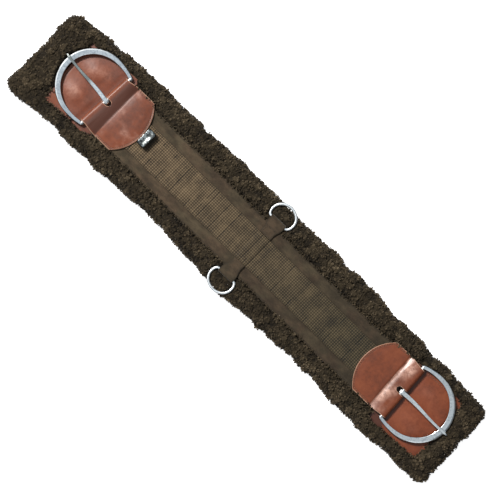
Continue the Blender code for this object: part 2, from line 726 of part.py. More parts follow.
def safe_seam(side, end):
    """Three sides of the base leather, open towards the middle."""
    a = math.radians(end.safe_turn)
    length_dir = Vector((math.cos(a), math.sin(a), 0.0)) * end.out
    width_dir = Vector((-math.sin(a), math.cos(a), 0.0))
    centre = Vector((end.safe_x, end.safe_y, SAFE_Z1 + THREAD_LIFT))
    far = end.safe_length / 2 - SAFE_SEAM_INSET
    half = end.safe_width / 2 - SAFE_SEAM_INSET
    corner = SAFE_SEAM_CORNER
    start = (end.bar_x - end.safe_x) * end.out + FOLD_R_IN + LEATHER_T + 5.0
    edge = [(start + (far - corner - start) * k / 5, half) for k in range(6)]
    for k in range(1, 4):
        b = math.pi / 2 * k / 4
        edge.append((far - corner + corner * math.sin(b), half - corner + corner * math.cos(b)))
    across = [(far, (half - corner) * (1.0 - 2.0 * k / 6)) for k in range(7)]
    points = edge + across + [(x, -y) for x, y in reversed(edge)]
    thread("safe_seam_" + side, [centre + length_dir * x + width_dir * y for x, y in points])


def straight_seam(name, y, face_z, x0, x1, steps):
    path = [Vector((x0 + (x1 - x0) * k / steps, y, face_z + THREAD_LIFT))
            for k in range(steps + 1)]
    thread(name, path, "dark_thread")


def web_seams(name, sign):
    """Edge seams of both webs; the wide web's break at the ring tab."""
    y = sign * (WEB_HALF - 2.2)
    straight_seam("web_seam_" + name + "_left", y, WEB_Z1, -228.0, RING_X - 16.0, 6)
    straight_seam("web_seam_" + name + "_right", y, WEB_Z1, RING_X + 16.0, 238.0, 6)
    straight_seam("strip_seam_" + name, sign * (STRIP_HALF - 1.8), STRIP_Z1, -214.0, 222.0, 10)


def tab_seam(name, sign):
    """A stitched box with clipped corners on the ring tab."""
    z = WEB_Z1 + 2 * GAP + 2 * TAB_T + THREAD_LIFT
    corners = [Vector((RING_X + x, sign * y, z))
               for x, y in ((-7.6, 28.2), (7.6, 28.2), (7.6, 40.0), (-7.6, 40.0))]
    path = []
    for a, b in zip(corners, corners[1:] + corners[:1]):
        path += [a + (b - a) * t for t in (0.12, 0.88)]
    thread("tab_seam_" + name, path, "dark_thread", closed=True)


def build():
    clear_scene()
    pad = fleece_pad()
    for side, end in ENDS.items():
        cut_end_pockets(pad, side, end)
        for piece in (chape, safe, buckle_frame, tongue, chape_seam, safe_seam):
            piece(side, end)
    cut_web_channel(pad)
    web_plate("backing_web", WEB_HALF, WEB_Z0, WEB_Z1, "band")
    web_plate("centre_web", STRIP_HALF, STRIP_Z0, STRIP_Z1, "ribbed")
    for name, sign in (("back", 1.0), ("front", -1.0)):
        cut_ring_pockets(pad, name, sign)
        for piece in (d_ring, ring_tab, tab_seam, web_seams):
            piece(name, sign)
    keeper_loop()


build()
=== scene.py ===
"""A padded girth: a fleece pad with webbing sewn along it, a leather chape, safe and
buckle at each end, two D rings and a metal keeper band near the middle.

It lies flat on the floor at z = 0, its length along X (left is -X, right is +X), its
back edge at +Y and its front edge at -Y. Shapes are worked out in millimetres and
stored in metres.
"""
import itertools
import json
import math
from functools import cached_property
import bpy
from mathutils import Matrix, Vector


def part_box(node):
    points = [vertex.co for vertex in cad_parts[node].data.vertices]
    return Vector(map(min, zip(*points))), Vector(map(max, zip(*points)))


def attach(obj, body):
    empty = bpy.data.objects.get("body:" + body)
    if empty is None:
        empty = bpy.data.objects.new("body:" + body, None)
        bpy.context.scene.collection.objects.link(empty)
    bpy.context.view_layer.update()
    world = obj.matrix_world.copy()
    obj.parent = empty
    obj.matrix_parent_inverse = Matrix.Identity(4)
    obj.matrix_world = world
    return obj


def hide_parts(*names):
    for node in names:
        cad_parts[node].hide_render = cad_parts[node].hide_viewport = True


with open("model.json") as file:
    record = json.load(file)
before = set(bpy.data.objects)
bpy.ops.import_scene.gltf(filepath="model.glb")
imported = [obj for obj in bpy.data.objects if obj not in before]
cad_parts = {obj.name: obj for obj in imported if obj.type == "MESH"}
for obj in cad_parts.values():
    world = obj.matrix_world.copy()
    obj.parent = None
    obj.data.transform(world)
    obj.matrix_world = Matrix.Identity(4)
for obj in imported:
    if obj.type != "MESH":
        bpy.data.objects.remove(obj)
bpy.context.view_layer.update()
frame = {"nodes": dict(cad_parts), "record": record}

from types import SimpleNamespace

import bmesh
import bpy
import numpy as np
from mathutils import Matrix, Vector
from mathutils.bvhtree import BVHTree
from mathutils.kdtree import KDTree

MM = 0.001
TAU = 2.0 * math.pi
rng = np.random.default_rng(74021)
scene = bpy.context.scene

# ------------------------------------------------------------------ driving dimensions, mm
JOINTS = {joint["name"]: joint for joint in frame["record"]["behaviour"]["joints"]}


def box_mm(node):
    low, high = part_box(node)
    return [c * 1000.0 for c in low], [c * 1000.0 for c in high]


def buckle_end(side, **shape):
    """Where a buckle bar lies, with the shape of the leather round it."""
    joint = JOINTS[f"frame_{side}_swing"]
    bar = Vector(joint["pos_m"]) * 1000.0
    axis = Vector(joint["axis"])
    along = axis.copy() if axis.y > 0 else -axis
    out = -1.0 if bar.x < 0 else 1.0
    outward = Vector((along.y, -along.x, 0.0)) * out
    return SimpleNamespace(bar_x=bar.x, bar_y=bar.y, bar_z=bar.z, along=along, out=out,
                           outward=outward, tilt=math.atan2(-along.x, along.y), **shape)


ENDS = {
    "left": buckle_end(
        "left",
        # safe: centre x, centre y, width, height, turn in degrees
        safe=(-318.7, 0.5, 91.0, 110.0, 3.6),
        recess_x=(-291.0, -232.0),              # sunken fleece under the chape
        # chape: crease distance from the bar and its tilt in degrees, then the tip
        crease_back=21.5, crease_tilt=0.0, shoulder_x=-240.0, apex_x=-219.0,
        slot_back=9.0,                          # reach of the tongue slot behind the bar
        # the crease's and the slope's darkness is painted shade, the slope's brightness a
        # painted highlight, the patches on the top ply painted highlights and shade
        crease_width=5.6, crease_depth=0.55, crease_dark=0.35, bulk=0.42,
        slope_dark=1.0, slope_shine=0.0, blotches=1.0,
        # safe tones: a painted shadow in a band beside the bar, painted shade between lobes,
        # lobe gloss with a painted highlight
        dark_reach=8.0, dark=0.4, shade=0.26, gloss=0.40),
    "right": buckle_end(
        "right", safe=(335.0, -1.8, 96.0, 110.0, 3.4), recess_x=(240.0, 303.0),
        crease_back=23.5, crease_tilt=3.6, shoulder_x=250.0, apex_x=227.0,
        # painted shade and painted highlight as on the left end
        slot_back=10.6, crease_width=1.5, crease_depth=1.30, crease_dark=1.0, bulk=0.30,
        slope_dark=0.0, slope_shine=1.0, blotches=0.0,
        dark_reach=11.5, dark=0.95, shade=0.0, gloss=0.05),
}
WEB_LO, WEB_HI = box_mm("backing_web")
STRIP_LO, STRIP_HI = box_mm("centre_web")
KEEPER_LO, KEEPER_HI = box_mm("keeper_loop")
PAD_HALF = box_mm("fleece_lining")[1][0]
RING_POS = Vector(JOINTS["ring_back_swing"]["pos_m"]) * 1000.0
BAR_Z = ENDS["left"].bar_z
STRIP_HALF = STRIP_HI[1]
WEB_TOP = 19.30
WEB_SEAM_Y, STRIP_SEAM_Y = 42.3, 23.3
CROSS_SEAMS_X = (3.6, 16.6)


# ------------------------------------------------------------------ noise and profiles
def hash01(ix, iy, iz, seed):
    """A repeatable value from 0 to 1 for each whole-number cell."""
    value = (ix.astype(np.int64) * 374761393 + iy.astype(np.int64) * 668265263
             + iz.astype(np.int64) * 2147483647 + seed * 1274126177) & 0xFFFFFFFF
    value = ((value ^ (value >> 13)) * 1274126177) & 0xFFFFFFFF
    value = value ^ (value >> 16)
    return value.astype(np.float64) / 4294967296.0


def vnoise(points, scale, seed=0):
    """Smooth value noise, -1 to 1. points is (..., 3) in millimetres."""
    scaled_points = np.asarray(points, float) / scale
    cell = np.floor(scaled_points)
    part = scaled_points - cell
    part = part * part * (3.0 - 2.0 * part)
    cell = cell.astype(np.int64)
    total = np.zeros(part.shape[:-1])
    for corner in itertools.product((0, 1), repeat=3):
        weight = np.prod(np.where(corner, part, 1.0 - part), axis=-1)
        total += weight * hash01(*np.moveaxis(cell + corner, -1, 0), seed)
    return total * 2.0 - 1.0


def fbm(points, scale, seed=0, octaves=3):
    """Layers of value noise, each half the size and strength of the last."""
    total, strength, norm = 0.0, 1.0, 0.0
    for k in range(octaves):
        total = total + strength * vnoise(points, scale / 2 ** k, seed + 17 * k)
        norm += strength
        strength *= 0.5
    return total / norm


def smooth01(t):
    t = np.clip(t, 0.0, 1.0)
    return t * t * (3.0 - 2.0 * t)


def rounded(t):
    """Quarter-circle rise from 0 to 1."""
    return np.sqrt(1.0 - (1.0 - np.clip(t, 0.0, 1.0)) ** 2)


def bell(distance, width):
    return np.exp(-(distance / width) ** 2)


def plan(x, y):
    """Points at z = 0 over a grid."""
    return np.stack([x, y, 0.0 * x], -1)


def turned(x, y, centre_x, centre_y, angle):
    """Plan coordinates seen from a centre, along axes turned by angle."""
    c, s = math.cos(angle), math.sin(angle)
    return ((x - centre_x) * c + (y - centre_y) * s,
            -(x - centre_x) * s + (y - centre_y) * c)


# ------------------------------------------------------------------ meshes
def new_mesh(name, points, faces, attributes=None, material=None):
    """faces is an N x 4 array or a list of index tuples; points are in mm."""
    mesh = bpy.data.meshes.new(name)
    points = np.asarray(points, np.float32) * MM
    if isinstance(faces, np.ndarray):
        count, corners = faces.shape
        mesh.vertices.add(len(points))
        mesh.vertices.foreach_set("co", points.ravel())
        mesh.loops.add(count * corners)
        mesh.loops.foreach_set("vertex_index", faces.astype(np.int32).ravel())
        mesh.polygons.add(count)
        mesh.polygons.foreach_set(
            "loop_start", np.arange(0, count * corners, corners, dtype=np.int32))
        mesh.update(calc_edges=True)
    else:
        mesh.from_pydata([tuple(p) for p in points], [], faces)
        mesh.update()
    for key, values in (attributes or {}).items():
        set_attribute(mesh, key, values)
    ob = bpy.data.objects.new(name, mesh)
    scene.collection.objects.link(ob)
    mesh.shade_smooth()
    if material:
        mesh.materials.append(material)
    return ob


def set_attribute(mesh, name, values):
    attribute = mesh.attributes.new(name, "FLOAT", "POINT")
    attribute.data.foreach_set("value", np.asarray(values, np.float32))


def fix_normals(ob, weld=False):
    """Turn every face outward, first joining the vertices that meet if weld is set."""
    bm = bmesh.new()
    bm.from_mesh(ob.data)
    if weld:
        bmesh.ops.remove_doubles(bm, verts=bm.verts[:], dist=2e-6)
        bmesh.ops.dissolve_degenerate(bm, edges=bm.edges[:], dist=1e-7)
    bmesh.ops.recalc_face_normals(bm, faces=bm.faces[:])
    bm.to_mesh(ob.data)
    bm.free()
    return ob


def register(ob, slot, *covers):
    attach(ob, "girth")
    if covers:
        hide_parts(*covers)


def grid_quads(rows, cols, close_rows=False, close_cols=False, base=0):
    i = np.arange(rows if close_rows else rows - 1)
    j = np.arange(cols if close_cols else cols - 1)
    i, j = np.meshgrid(i, j, indexing="ij")
    next_i, next_j = (i + 1) % rows, (j + 1) % cols
    quads = [i * cols + j, i * cols + next_j, next_i * cols + next_j, next_i * cols + j]
    return np.stack(quads, -1).reshape(-1, 4) + base


def wall_quads(start, stop, offset):
    """Quads between an edge of one sheet and the same edge of its partner."""
    return np.stack([stop, start, start + offset, stop + offset], -1)


def closed_sheet(name, top, bottom, attributes, material):
    """A closed body from two grids that face each other.

    Each attribute is a pair: values on the top grid, values on the bottom grid.
    """
    rows, cols = top.shape[:2]
    points = np.concatenate([top.reshape(-1, 3), bottom.reshape(-1, 3)])
    offset = rows * cols
    faces = [grid_quads(rows, cols), grid_quads(rows, cols, base=offset)[:, ::-1]]
    index = np.arange(offset).reshape(rows, cols)
    for line in (index[0], index[-1][::-1], index[:, 0][::-1], index[:, -1]):
        faces.append(wall_quads(line[:-1], line[1:], offset))
    values = {key: np.concatenate([np.ravel(part) for part in pair])
              for key, pair in attributes.items()}
    return fix_normals(new_mesh(name, points, np.concatenate(faces), values, material))


def normalised(vectors):
    return vectors / (np.linalg.norm(vectors, axis=-1, keepdims=True) + 1e-9)


def cross_axes(path, up):
    """The two axes across a path, at each of its points."""
    tangent = normalised(np.gradient(path, axis=-2))
    side = normalised(np.cross(tangent, up))
    return side, np.cross(side, tangent)


def ring_points(path, radii, side, up, sides):
    """Vertices of the rings of a tube swept along a path."""
    angle = (TAU * (np.arange(sides) + 0.5) / sides)[:, None]
    ring = side[..., None, :] * np.cos(angle) + up[..., None, :] * np.sin(angle)
    return path[..., None, :] + ring * radii[..., None, None]


def resample(points, step):
    """Even spacing along a line; returns the points and their distances along it."""
    points = np.asarray(points, float)
    lengths = np.linalg.norm(np.diff(points, axis=0), axis=1)
    run = np.concatenate([[0.0], np.cumsum(lengths)])
    count = max(2, int(round(run[-1] / step)) + 1)
    even = np.linspace(0.0, run[-1], count)
    return np.stack([np.interp(even, run, points[:, k]) for k in range(3)], -1), even


# ------------------------------------------------------------------ materials
class Shader:
    """Short calls for building the node tree of a material or a world."""

    def __init__(self, owner):
        self.owner = owner
        owner.use_nodes = True
        self.tree = owner.node_tree

    def put(self, value, socket):
        if isinstance(value, bpy.types.NodeSocket):
            self.tree.links.new(value, socket)
        else:
            socket.default_value = value

    def node(self, kind, inputs, **props):
        """Add a node and return its outputs."""
        node = self.tree.nodes.new("ShaderNode" + kind)
        for key, value in props.items():
            setattr(node, key, value)
        for key, value in inputs.items():
            self.put(value, node.inputs[key])
        return node.outputs

    @cached_property
    def coord(self):
        return self.node("TexCoord", {})

    def mapping(self, scale, turn=(0.0, 0.0, 0.0)):
        return self.node("Mapping", {"Scale": scale, "Rotation": turn,
                                     "Vector": self.coord["Object"]})["Vector"]

    def noise(self, scale, detail=3.0, rough=0.55, vector=None):
        return self.node("TexNoise", {"Scale": scale, "Detail": detail, "Roughness": rough,
                                      "Vector": vector or self.coord["Object"]})["Fac"]

    def voronoi(self, scale, vector=None):
        return self.node("TexVoronoi", {"Scale": scale,
                                        "Vector": vector or self.coord["Object"]})["Distance"]

    def wave(self, scale, axis, distortion=0.0):
        """Bands spaced 314.16 mm / scale apart."""
        return self.node("TexWave", {"Scale": scale, "Distortion": distortion, "Detail": 1.0,
                                     "Detail Scale": 2.0, "Vector": self.coord["Object"]},
                         bands_direction=axis)["Fac"]

    def math(self, operation, *values, clamp=False):
        return self.node("Math", dict(enumerate(values)), operation=operation,
                         use_clamp=clamp)[0]

    def absolute(self, value):
        return self.math("ABSOLUTE", value, 0.0)

    def centred(self, value):
        return self.math("SUBTRACT", value, 0.5)

    def total(self, *terms, clamp=False):
        """Add up terms; each is a value or a (value, weight) pair."""
        parts = [self.math("MULTIPLY", *term) if isinstance(term, tuple) else term
                 for term in terms]
        result = parts[0]
        for count, part in enumerate(parts[1:], 2):
            result = self.math("ADD", result, part, clamp=clamp and count == len(parts))
        return result

    def attribute(self, name):
        return self.node("Attribute", {}, attribute_name=name)["Fac"]

    def split(self, vector):
        return self.node("SeparateXYZ", {0: vector})

    def ramp(self, factor, *stops):
        """Colour ramp; each stop is (position, colour)."""
        node = self.tree.nodes.new("ShaderNodeValToRGB")
        elements = node.color_ramp.elements
        while len(elements) < len(stops):
            elements.new(0.5)
        for element, (position, colour) in zip(elements, stops):
            element.position = position
            element.color = (*colour, 1.0)
        self.put(factor, node.inputs["Fac"])
        return node.outputs["Color"]

    def remap(self, value, to, source=(0.0, 1.0)):
        """Map the range source onto the range to."""
        return self.node("MapRange", {"Value": value,
                                      "From Min": source[0], "From Max": source[1],
                                      "To Min": to[0], "To Max": to[1]})["Result"]

    def mix(self, factor, first, second, mode="MIX"):
        first, second = ((*c, 1.0) if isinstance(c, tuple) else c for c in (first, second))
        return self.node("Mix", {"Factor": factor, "A": first, "B": second},
                         data_type="RGBA", blend_type=mode)["Result"]

    def bump(self, height, strength, distance):
        return self.node("Bump", {"Strength": strength, "Distance": distance,
                                  "Height": height})["Normal"]

    def finish(self, **inputs):
        """Fill the inputs of the surface shader and return the material."""
        surface = self.tree.nodes["Principled BSDF"]
        for key, value in inputs.items():
            self.put(value, surface.inputs[key.replace("_", " ")])
        return self.owner


def material(name):
    return Shader(bpy.data.materials.new(name))


def scaled(colour, factor):
    return tuple(c * factor for c in colour)


def pile_material():
    mat = material("curly_pile")
    patch = mat.noise(scale=34.0)
    fibre = mat.noise(scale=1500.0, rough=0.65, vector=mat.mapping(scale=(1.0, 1.0, 0.45)))
    # the tone attribute carries painted shade: darker in the gaps between clumps and at the
    # roots of the locks, lighter on the crowns and towards the tips
    tone = mat.total(mat.attribute("tone"), (mat.centred(fibre), 0.45),
                     (mat.centred(patch), 0.55), clamp=True)
    colour = mat.ramp(tone, (0.0, (0.0088, 0.0060, 0.0030)), (0.45, (0.0550, 0.0400, 0.0215)),
                      (1.0, (0.200, 0.150, 0.092)))
    return mat.finish(Base_Color=colour, Roughness=mat.remap(fibre, to=(0.80, 0.97)),
                      Normal=mat.bump(fibre, strength=0.55, distance=0.0006),
                      Sheen_Weight=0.12, Sheen_Roughness=0.4, Specular_IOR_Level=0.25,
                      Sheen_Tint=(0.9, 0.75, 0.6, 1.0))


def band_material():
    """Plain woven webbing, threads over and under one another."""
    tint, pitch = (0.070, 0.052, 0.030), 1.25
    weave_scale = 314.159 / pitch
    mat = material("plain_webbing")
    weave = mat.absolute(mat.math("SUBTRACT", mat.wave(scale=weave_scale, axis="X"),
                                  mat.wave(scale=weave_scale, axis="Y")))
    rows = mat.wave(scale=weave_scale * 2.0, axis="Y")
    fuzz = mat.noise(scale=900.0, rough=0.7)
    patch = mat.noise(scale=70.0, detail=4.0, rough=0.7,
                      vector=mat.mapping(scale=(0.6, 1.0, 1.0)))
    height = mat.total((weave, 0.6), (fuzz, 0.55), (rows, 0.2))
    spread = mat.remap(patch, to=(0.0, 1.0), source=(0.36, 0.64))
    tone = mat.total((height, 0.5), (spread, 0.58), clamp=True)
    colour = mat.ramp(tone, (0.12, scaled(tint, 0.42)), (0.57, tint), (1.0, scaled(tint, 1.75)))
    hue = mat.remap(mat.noise(scale=34.0, rough=0.6), to=(0.0, 0.55), source=(0.44, 0.60))
    colour = mat.mix(hue, colour, (1.12, 0.92, 0.96), "MULTIPLY")
    # painted shade in the seam groove and a painted shadow beside the ribbed webbing; on the
    # ring straps, darker edges
    colour = mat.mix(mat.attribute("darkening"), colour, scaled(tint, 0.50))
    # painted shade: darker towards the right end, where the sheen fades
    darker = mat.remap(mat.split(mat.coord["Object"])["X"], to=(0.0, 0.36),
                       source=(-0.24, 0.20))
    colour = mat.mix(darker, colour, (0.012, 0.009, 0.005))
    return mat.finish(Base_Color=colour, Roughness=mat.remap(fuzz, to=(0.72, 0.95)),
                      Normal=mat.bump(height, strength=0.5, distance=0.0004),
                      Sheen_Weight=0.25, Sheen_Roughness=0.4, Specular_IOR_Level=0.3)


def ribbed_material():
    """Cross-ribbed webbing, golden brown, with a painted sheen that makes it paler towards the
    left end.
    """
    mat = material("ribbed_webbing")
    rib = mat.attribute("rib")
    warp = mat.wave(scale=314.16 / 1.7, axis="Y", distortion=0.6)
    fuzz = mat.noise(scale=1100.0, rough=0.7)
    patch = mat.noise(scale=48.0, rough=0.65)
    streak = mat.noise(scale=60.0, detail=2.0, rough=0.5,
                       vector=mat.mapping(scale=(1.0, 0.12, 1.0)))
    # painted sheen: paler towards the left end
    paler = mat.remap(mat.split(mat.coord["Object"])["X"], to=(1.0, 0.0),
                      source=(-0.26, 0.17))
    height = mat.total((rib, 0.85), (warp, 0.12), (fuzz, 0.25))
    patches = mat.remap(patch, to=(-0.02, 0.18), source=(0.36, 0.64))
    tone = mat.total((height, 0.72), (patches, 1.0), (mat.centred(streak), 0.35), clamp=True)
    # warm holds the lit tones and cool the shaded tones of the same webbing, for the painted
    # sheen
    warm = mat.ramp(tone, (0.12, (0.010, 0.007, 0.003)), (0.40, (0.090, 0.060, 0.031)),
                    (0.85, (0.275, 0.190, 0.106)))
    cool = mat.ramp(tone, (0.12, (0.004, 0.003, 0.001)), (0.40, (0.027, 0.020, 0.009)),
                    (0.85, (0.112, 0.083, 0.041)))
    fine = mat.total((warp, 0.5), (fuzz, 0.6))
    return mat.finish(Base_Color=mat.mix(paler, cool, warm),
                      Roughness=mat.remap(fuzz, to=(0.62, 0.88)),
                      Normal=mat.bump(fine, strength=0.5, distance=0.00035),
                      Sheen_Weight=0.2, Sheen_Roughness=0.4, Specular_IOR_Level=0.35)


def leather_material(name, base):
    mat = material(name)
    cloud = mat.noise(scale=26.0, detail=4.0, rough=0.6)
    mottle = mat.noise(scale=160.0, detail=4.0, rough=0.65)
    pores = mat.voronoi(scale=1400.0)
    cells = mat.voronoi(scale=620.0, vector=mat.mapping(scale=(1.0, 0.8, 1.0)))
    wrinkle = mat.noise(scale=420.0, detail=4.0, rough=0.7,
                        vector=mat.mapping(scale=(1.0, 0.35, 1.0)))
    tone = mat.total((cloud, 0.65), (mottle, 0.35))
    light = (base[0] * 1.32, base[1] * 1.48, base[2] * 1.55)
    colour = mat.ramp(tone, (0.34, scaled(base, 0.58)), (0.5, base), (0.66, light))
    # fine dark pores
    colour = mat.mix(mat.remap(pores, to=(0.35, 0.0), source=(0.0, 0.28)), colour,
                     scaled(base, 0.55))
    # pale cut edges and rubbed arrises
    edge = mat.math("MULTIPLY", mat.attribute("edge"), mat.remap(mottle, to=(0.75, 1.15)),
                    clamp=True)
    colour = mat.mix(edge, colour, (0.600, 0.375, 0.255))
    # painted shade: darker in the creases, along the needle groove, on slopes turned from the
    # light, in a fold's shadow, between lobes and on undersides
    colour = mat.mix(mat.attribute("painted_shade"), colour, (0.090, 0.028, 0.015))
    height = mat.total((cells, 0.6), (wrinkle, 0.7), (mottle, 0.4))
    rough = mat.remap(tone, to=(0.50, 0.34), source=(0.25, 0.75))
    rough = mat.total(rough, (mat.attribute("edge"), 0.25))
    polish = mat.math("MULTIPLY", mat.attribute("gloss_and_highlight"), 0.14)
    rough = mat.math("SUBTRACT", rough, polish)
    # painted highlight where the leather is glossy, broken up by the mottling
    gloss_and_highlight = mat.math("MULTIPLY", mat.attribute("gloss_and_highlight"),
                     mat.remap(mottle, to=(0.25, 1.0), source=(0.34, 0.60)), clamp=True)
    colour = mat.mix(gloss_and_highlight, colour, (0.720, 0.420, 0.320))
    return mat.finish(Base_Color=colour, Roughness=rough,
                      Normal=mat.bump(height, strength=0.24, distance=0.0003),
                      Specular_IOR_Level=0.42, Coat_Weight=0.06, Coat_Roughness=0.25)


def nickel_material(name, tint=(0.80, 0.82, 0.83), extra_rough=0.0, flanks=0.85, dull=0.0,
                    grey_span=None):
    """flanks is how strongly painted shade darkens the steep faces and dull how strongly dark
    blots show; grey_span is where x turns it grey, m.
    """
    mat = material(name)
    smear = mat.noise(scale=70.0, rough=0.6)
    fine = mat.noise(scale=1300.0, detail=2.0, rough=0.6,
                     vector=mat.mapping(scale=(1.0, 0.12, 1.0), turn=(0.0, 0.0, 0.4)))
    pits = mat.noise(scale=330.0, rough=0.75)
    colour = mat.ramp(smear, (0.3, scaled(tint, 0.86)), (0.6, tint), (0.8, (0.86, 0.86, 0.85)))
    colour = mat.mix(mat.remap(pits, to=(0.0, 0.75), source=(0.50, 0.70)), colour,
                     (0.33, 0.36, 0.39))
    # painted shade: the steep flanks are darker
    steep = mat.absolute(mat.split(mat.coord["Normal"])["Z"])
    colour = mat.mix(mat.remap(steep, to=(flanks, 0.0), source=(0.10, 0.62)), colour,
                     (0.045, 0.047, 0.050))
    if grey_span:
        grey = mat.remap(mat.split(mat.coord["Object"])["X"], to=(0.0, 0.80), source=grey_span)
        colour = mat.mix(grey, colour, (0.20, 0.215, 0.19))
    if dull:
        blot = mat.noise(scale=210.0, detail=2.0, rough=0.6)
        colour = mat.mix(mat.remap(blot, to=(0.0, dull), source=(0.36, 0.52)), colour,
                         (0.026, 0.028, 0.028))
    rough = mat.total(mat.remap(smear, to=(0.10 + extra_rough, 0.20 + extra_rough)),
                      mat.remap(fine, to=(0.0, 0.07)))
    return mat.finish(Base_Color=colour, Roughness=rough, Metallic=1.0,
                      Normal=mat.bump(mat.total(fine, pits), strength=0.06, distance=0.0002))


def thread_material(name, tint):
    mat = material(name)
    twist = mat.wave(scale=520.0, axis="DIAGONAL")
    fuzz = mat.noise(scale=1600.0, detail=2.0)
    tone = mat.total((twist, 0.6), (fuzz, 0.4))
    colour = mat.ramp(tone, (0.1, scaled(tint, 0.5)), (0.6, tint), (1.0, scaled(tint, 1.4)))
    return mat.finish(Base_Color=colour, Roughness=0.7, Specular_IOR_Level=0.35,
                      Normal=mat.bump(tone, strength=0.5, distance=0.0003))


MAT_PILE = pile_material()
MAT_BAND = band_material()
MAT_RIB = ribbed_material()
MAT_HIDE = leather_material("russet_leather", base=(0.210, 0.051, 0.0185))
MAT_SAFE = leather_material("russet_base_leather", base=(0.226, 0.053, 0.019))
MAT_NICKEL = nickel_material("nickel")
MAT_BRIGHT = nickel_material("bright_nickel", tint=(0.96, 0.97, 0.97), extra_rough=0.24,
                             flanks=0.45)
MAT_TONGUE = nickel_material("tongue_nickel", tint=(0.92, 0.94, 0.94), extra_rough=0.05,
                             flanks=0.95, grey_span=(-0.320, -0.330))
# darker nickel with dark blots, for the keeper
MAT_DARK_NICKEL = nickel_material("dark_nickel", tint=(0.52, 0.56, 0.55), extra_rough=0.16,
                           flanks=0.9, dull=0.88)
# thread: material and slot
TAN = (thread_material("tan_thread", tint=(0.360, 0.165, 0.100)), "thread")
DARK = (thread_material("brown_thread", tint=(0.070, 0.054, 0.038)), "dark_thread")


# ------------------------------------------------------------------ solids to stay clear of
COVERS = ["backing_web", "centre_web", "chape_left", "chape_right", "ring_tab_back",
          "ring_tab_front"]
CAD_METAL = ["buckle_frame_left", "buckle_frame_right", "tongue_left", "tongue_right",
             "d_ring_back", "d_ring_front"]
SAFES = ["safe_left", "safe_right"]
UP, DOWN = Vector((0, 0, 1)), Vector((0, 0, -1))


def bvh_of(placed):
    """Search tree over pairs of node name and matrix."""
    points, faces = [], []
    for name, matrix in placed:
        mesh = frame["nodes"][name].data
        base = len(points)
        points += [tuple(matrix @ v.co) for v in mesh.vertices]
        faces += [tuple(i + base for i in p.vertices) for p in mesh.polygons]
    return BVHTree.FromPolygons(points, faces)


def bvh_at_rest(names):
    return bvh_of([(name, Matrix()) for name in names])


def bvh_swept_rings():
    """The D rings laid over towards the middle, near the end of their swing."""
    placed = []
    for ring in ("ring_back", "ring_front"):
        joint = JOINTS[ring + "_swing"]
        pivot, axis = Vector(joint["pos_m"]), Vector(joint["axis"])
        for degrees in (105.0, 122.0, 139.0, 155.0):
            swing = Matrix.Rotation(math.radians(degrees), 4, axis)
            placed.append(("d_" + ring,
                           Matrix.Translation(pivot) @ swing @ Matrix.Translation(-pivot)))
    return bvh_of(placed)


bvh_cover = bvh_at_rest(COVERS)
bvh_metal = bvh_at_rest(CAD_METAL + ["keeper_loop"])
bvh_safe = bvh_at_rest(SAFES)
bvh_top = bvh_at_rest(COVERS + SAFES)
bvh_swept = bvh_swept_rings()


def under_z(tree, x, y):
    """Height in mm of the lowest face over a point, or None."""
    hit = tree.ray_cast(Vector((x * MM, y * MM, -0.05)), UP)
    return hit[0].z * 1000.0 if hit[0] is not None else None


def over_z(tree, x, y):
    """Height in mm of the highest face over a point, or None."""
    hit = tree.ray_cast(Vector((x * MM, y * MM, 0.2)), DOWN)
    return hit[0].z * 1000.0 if hit[0] is not None else None


CROSS = [(1, 0), (-1, 0), (0, 1), (0, -1)]
OCTAGON = [(math.cos(TAU * k / 8), math.sin(TAU * k / 8)) for k in range(8)]


def lowest(trees, x, y, spread, directions):
    """Lowest underside over a point and its neighbours, infinite where there is none."""
    offsets = [(0.0, 0.0)] + [(spread * dx, spread * dy) for dx, dy in directions]
    heights = [under_z(tree, x + dx, y + dy) for dx, dy in offsets for tree in trees]
    return min((z for z in heights if z is not None), default=math.inf)


def metal_limit(x, y, spread):
    """Lowest metal over a small disc, at rest or with the D rings laid over."""
    trees = (bvh_metal, bvh_swept) if abs(x - RING_POS.x) < 32.0 else (bvh_metal,)
    return lowest(trees, x, y, spread, OCTAGON)


def near_bar(x, y, half_x, half_y):
    """True within a rectangle round either buckle bar."""
    hit = np.zeros(np.shape(x), bool)
    for end in ENDS.values():
        across, along = turned(x, y, end.bar_x, end.bar_y, end.tilt)
        hit |= (np.abs(across) < half_x) & (np.abs(along) < half_y)
    return hit


def inside_bow(x, y, grow):
    """True where a plan point lies inside one of the buckle bows."""
    hit = np.zeros(np.shape(x), bool)
    for end in ENDS.values():
        dx, dy = x - end.bar_x, y - end.bar_y
        outward = dx * end.outward.x + dy * end.outward.y
        along = dx * end.along.x + dy * end.along.y
        ellipse = ((outward - 28.0) / (56.0 + grow)) ** 2 + (along / (54.0 + grow)) ** 2 < 1.0
        hit |= (outward > 28.0) & ellipse
        hit |= (outward > -2.0) & (outward <= 28.0) & (np.abs(along) < 51.5 + grow)
    return hit


# ------------------------------------------------------------------ fleece
# trimmed outline of the pile: x, reach of the +Y edge, reach of the -Y edge
OUTLINE = np.array([
    (-417, 69, 82), (-400, 70, 83), (-375, 72.5, 84.5), (-350, 74, 82.5), (-325, 76.5, 80),
    (-300, 79.5, 78.5), (-250, 80.5, 78), (-200, 78.5, 76), (-150, 78.5, 74.5),
    (-100, 81.5, 75), (-50, 82.5, 78), (0, 84.5, 83.5), (50, 81.5, 80), (100, 81.5, 79.5),
    (150, 83.5, 78), (200, 79, 77), (250, 80, 80), (300, 75.5, 80), (350, 73, 77.5),
    (375, 73, 78.5), (400, 72, 79), (417, 71, 78),
])
BODY_HALF = PAD_HALF - 2.0      # the pile stands out beyond the body
CORNER_R = 17.0
RIM_Z, CROWN, BELLY = 10.0, 10.5, 9.0
SUNK_Z = 14.0
RIM_X = [0.0, 2.5, 6.5, 12.0, 19.0]     # closer rows near the rim
RIM_Y = RIM_X + [26.0, 33.0]


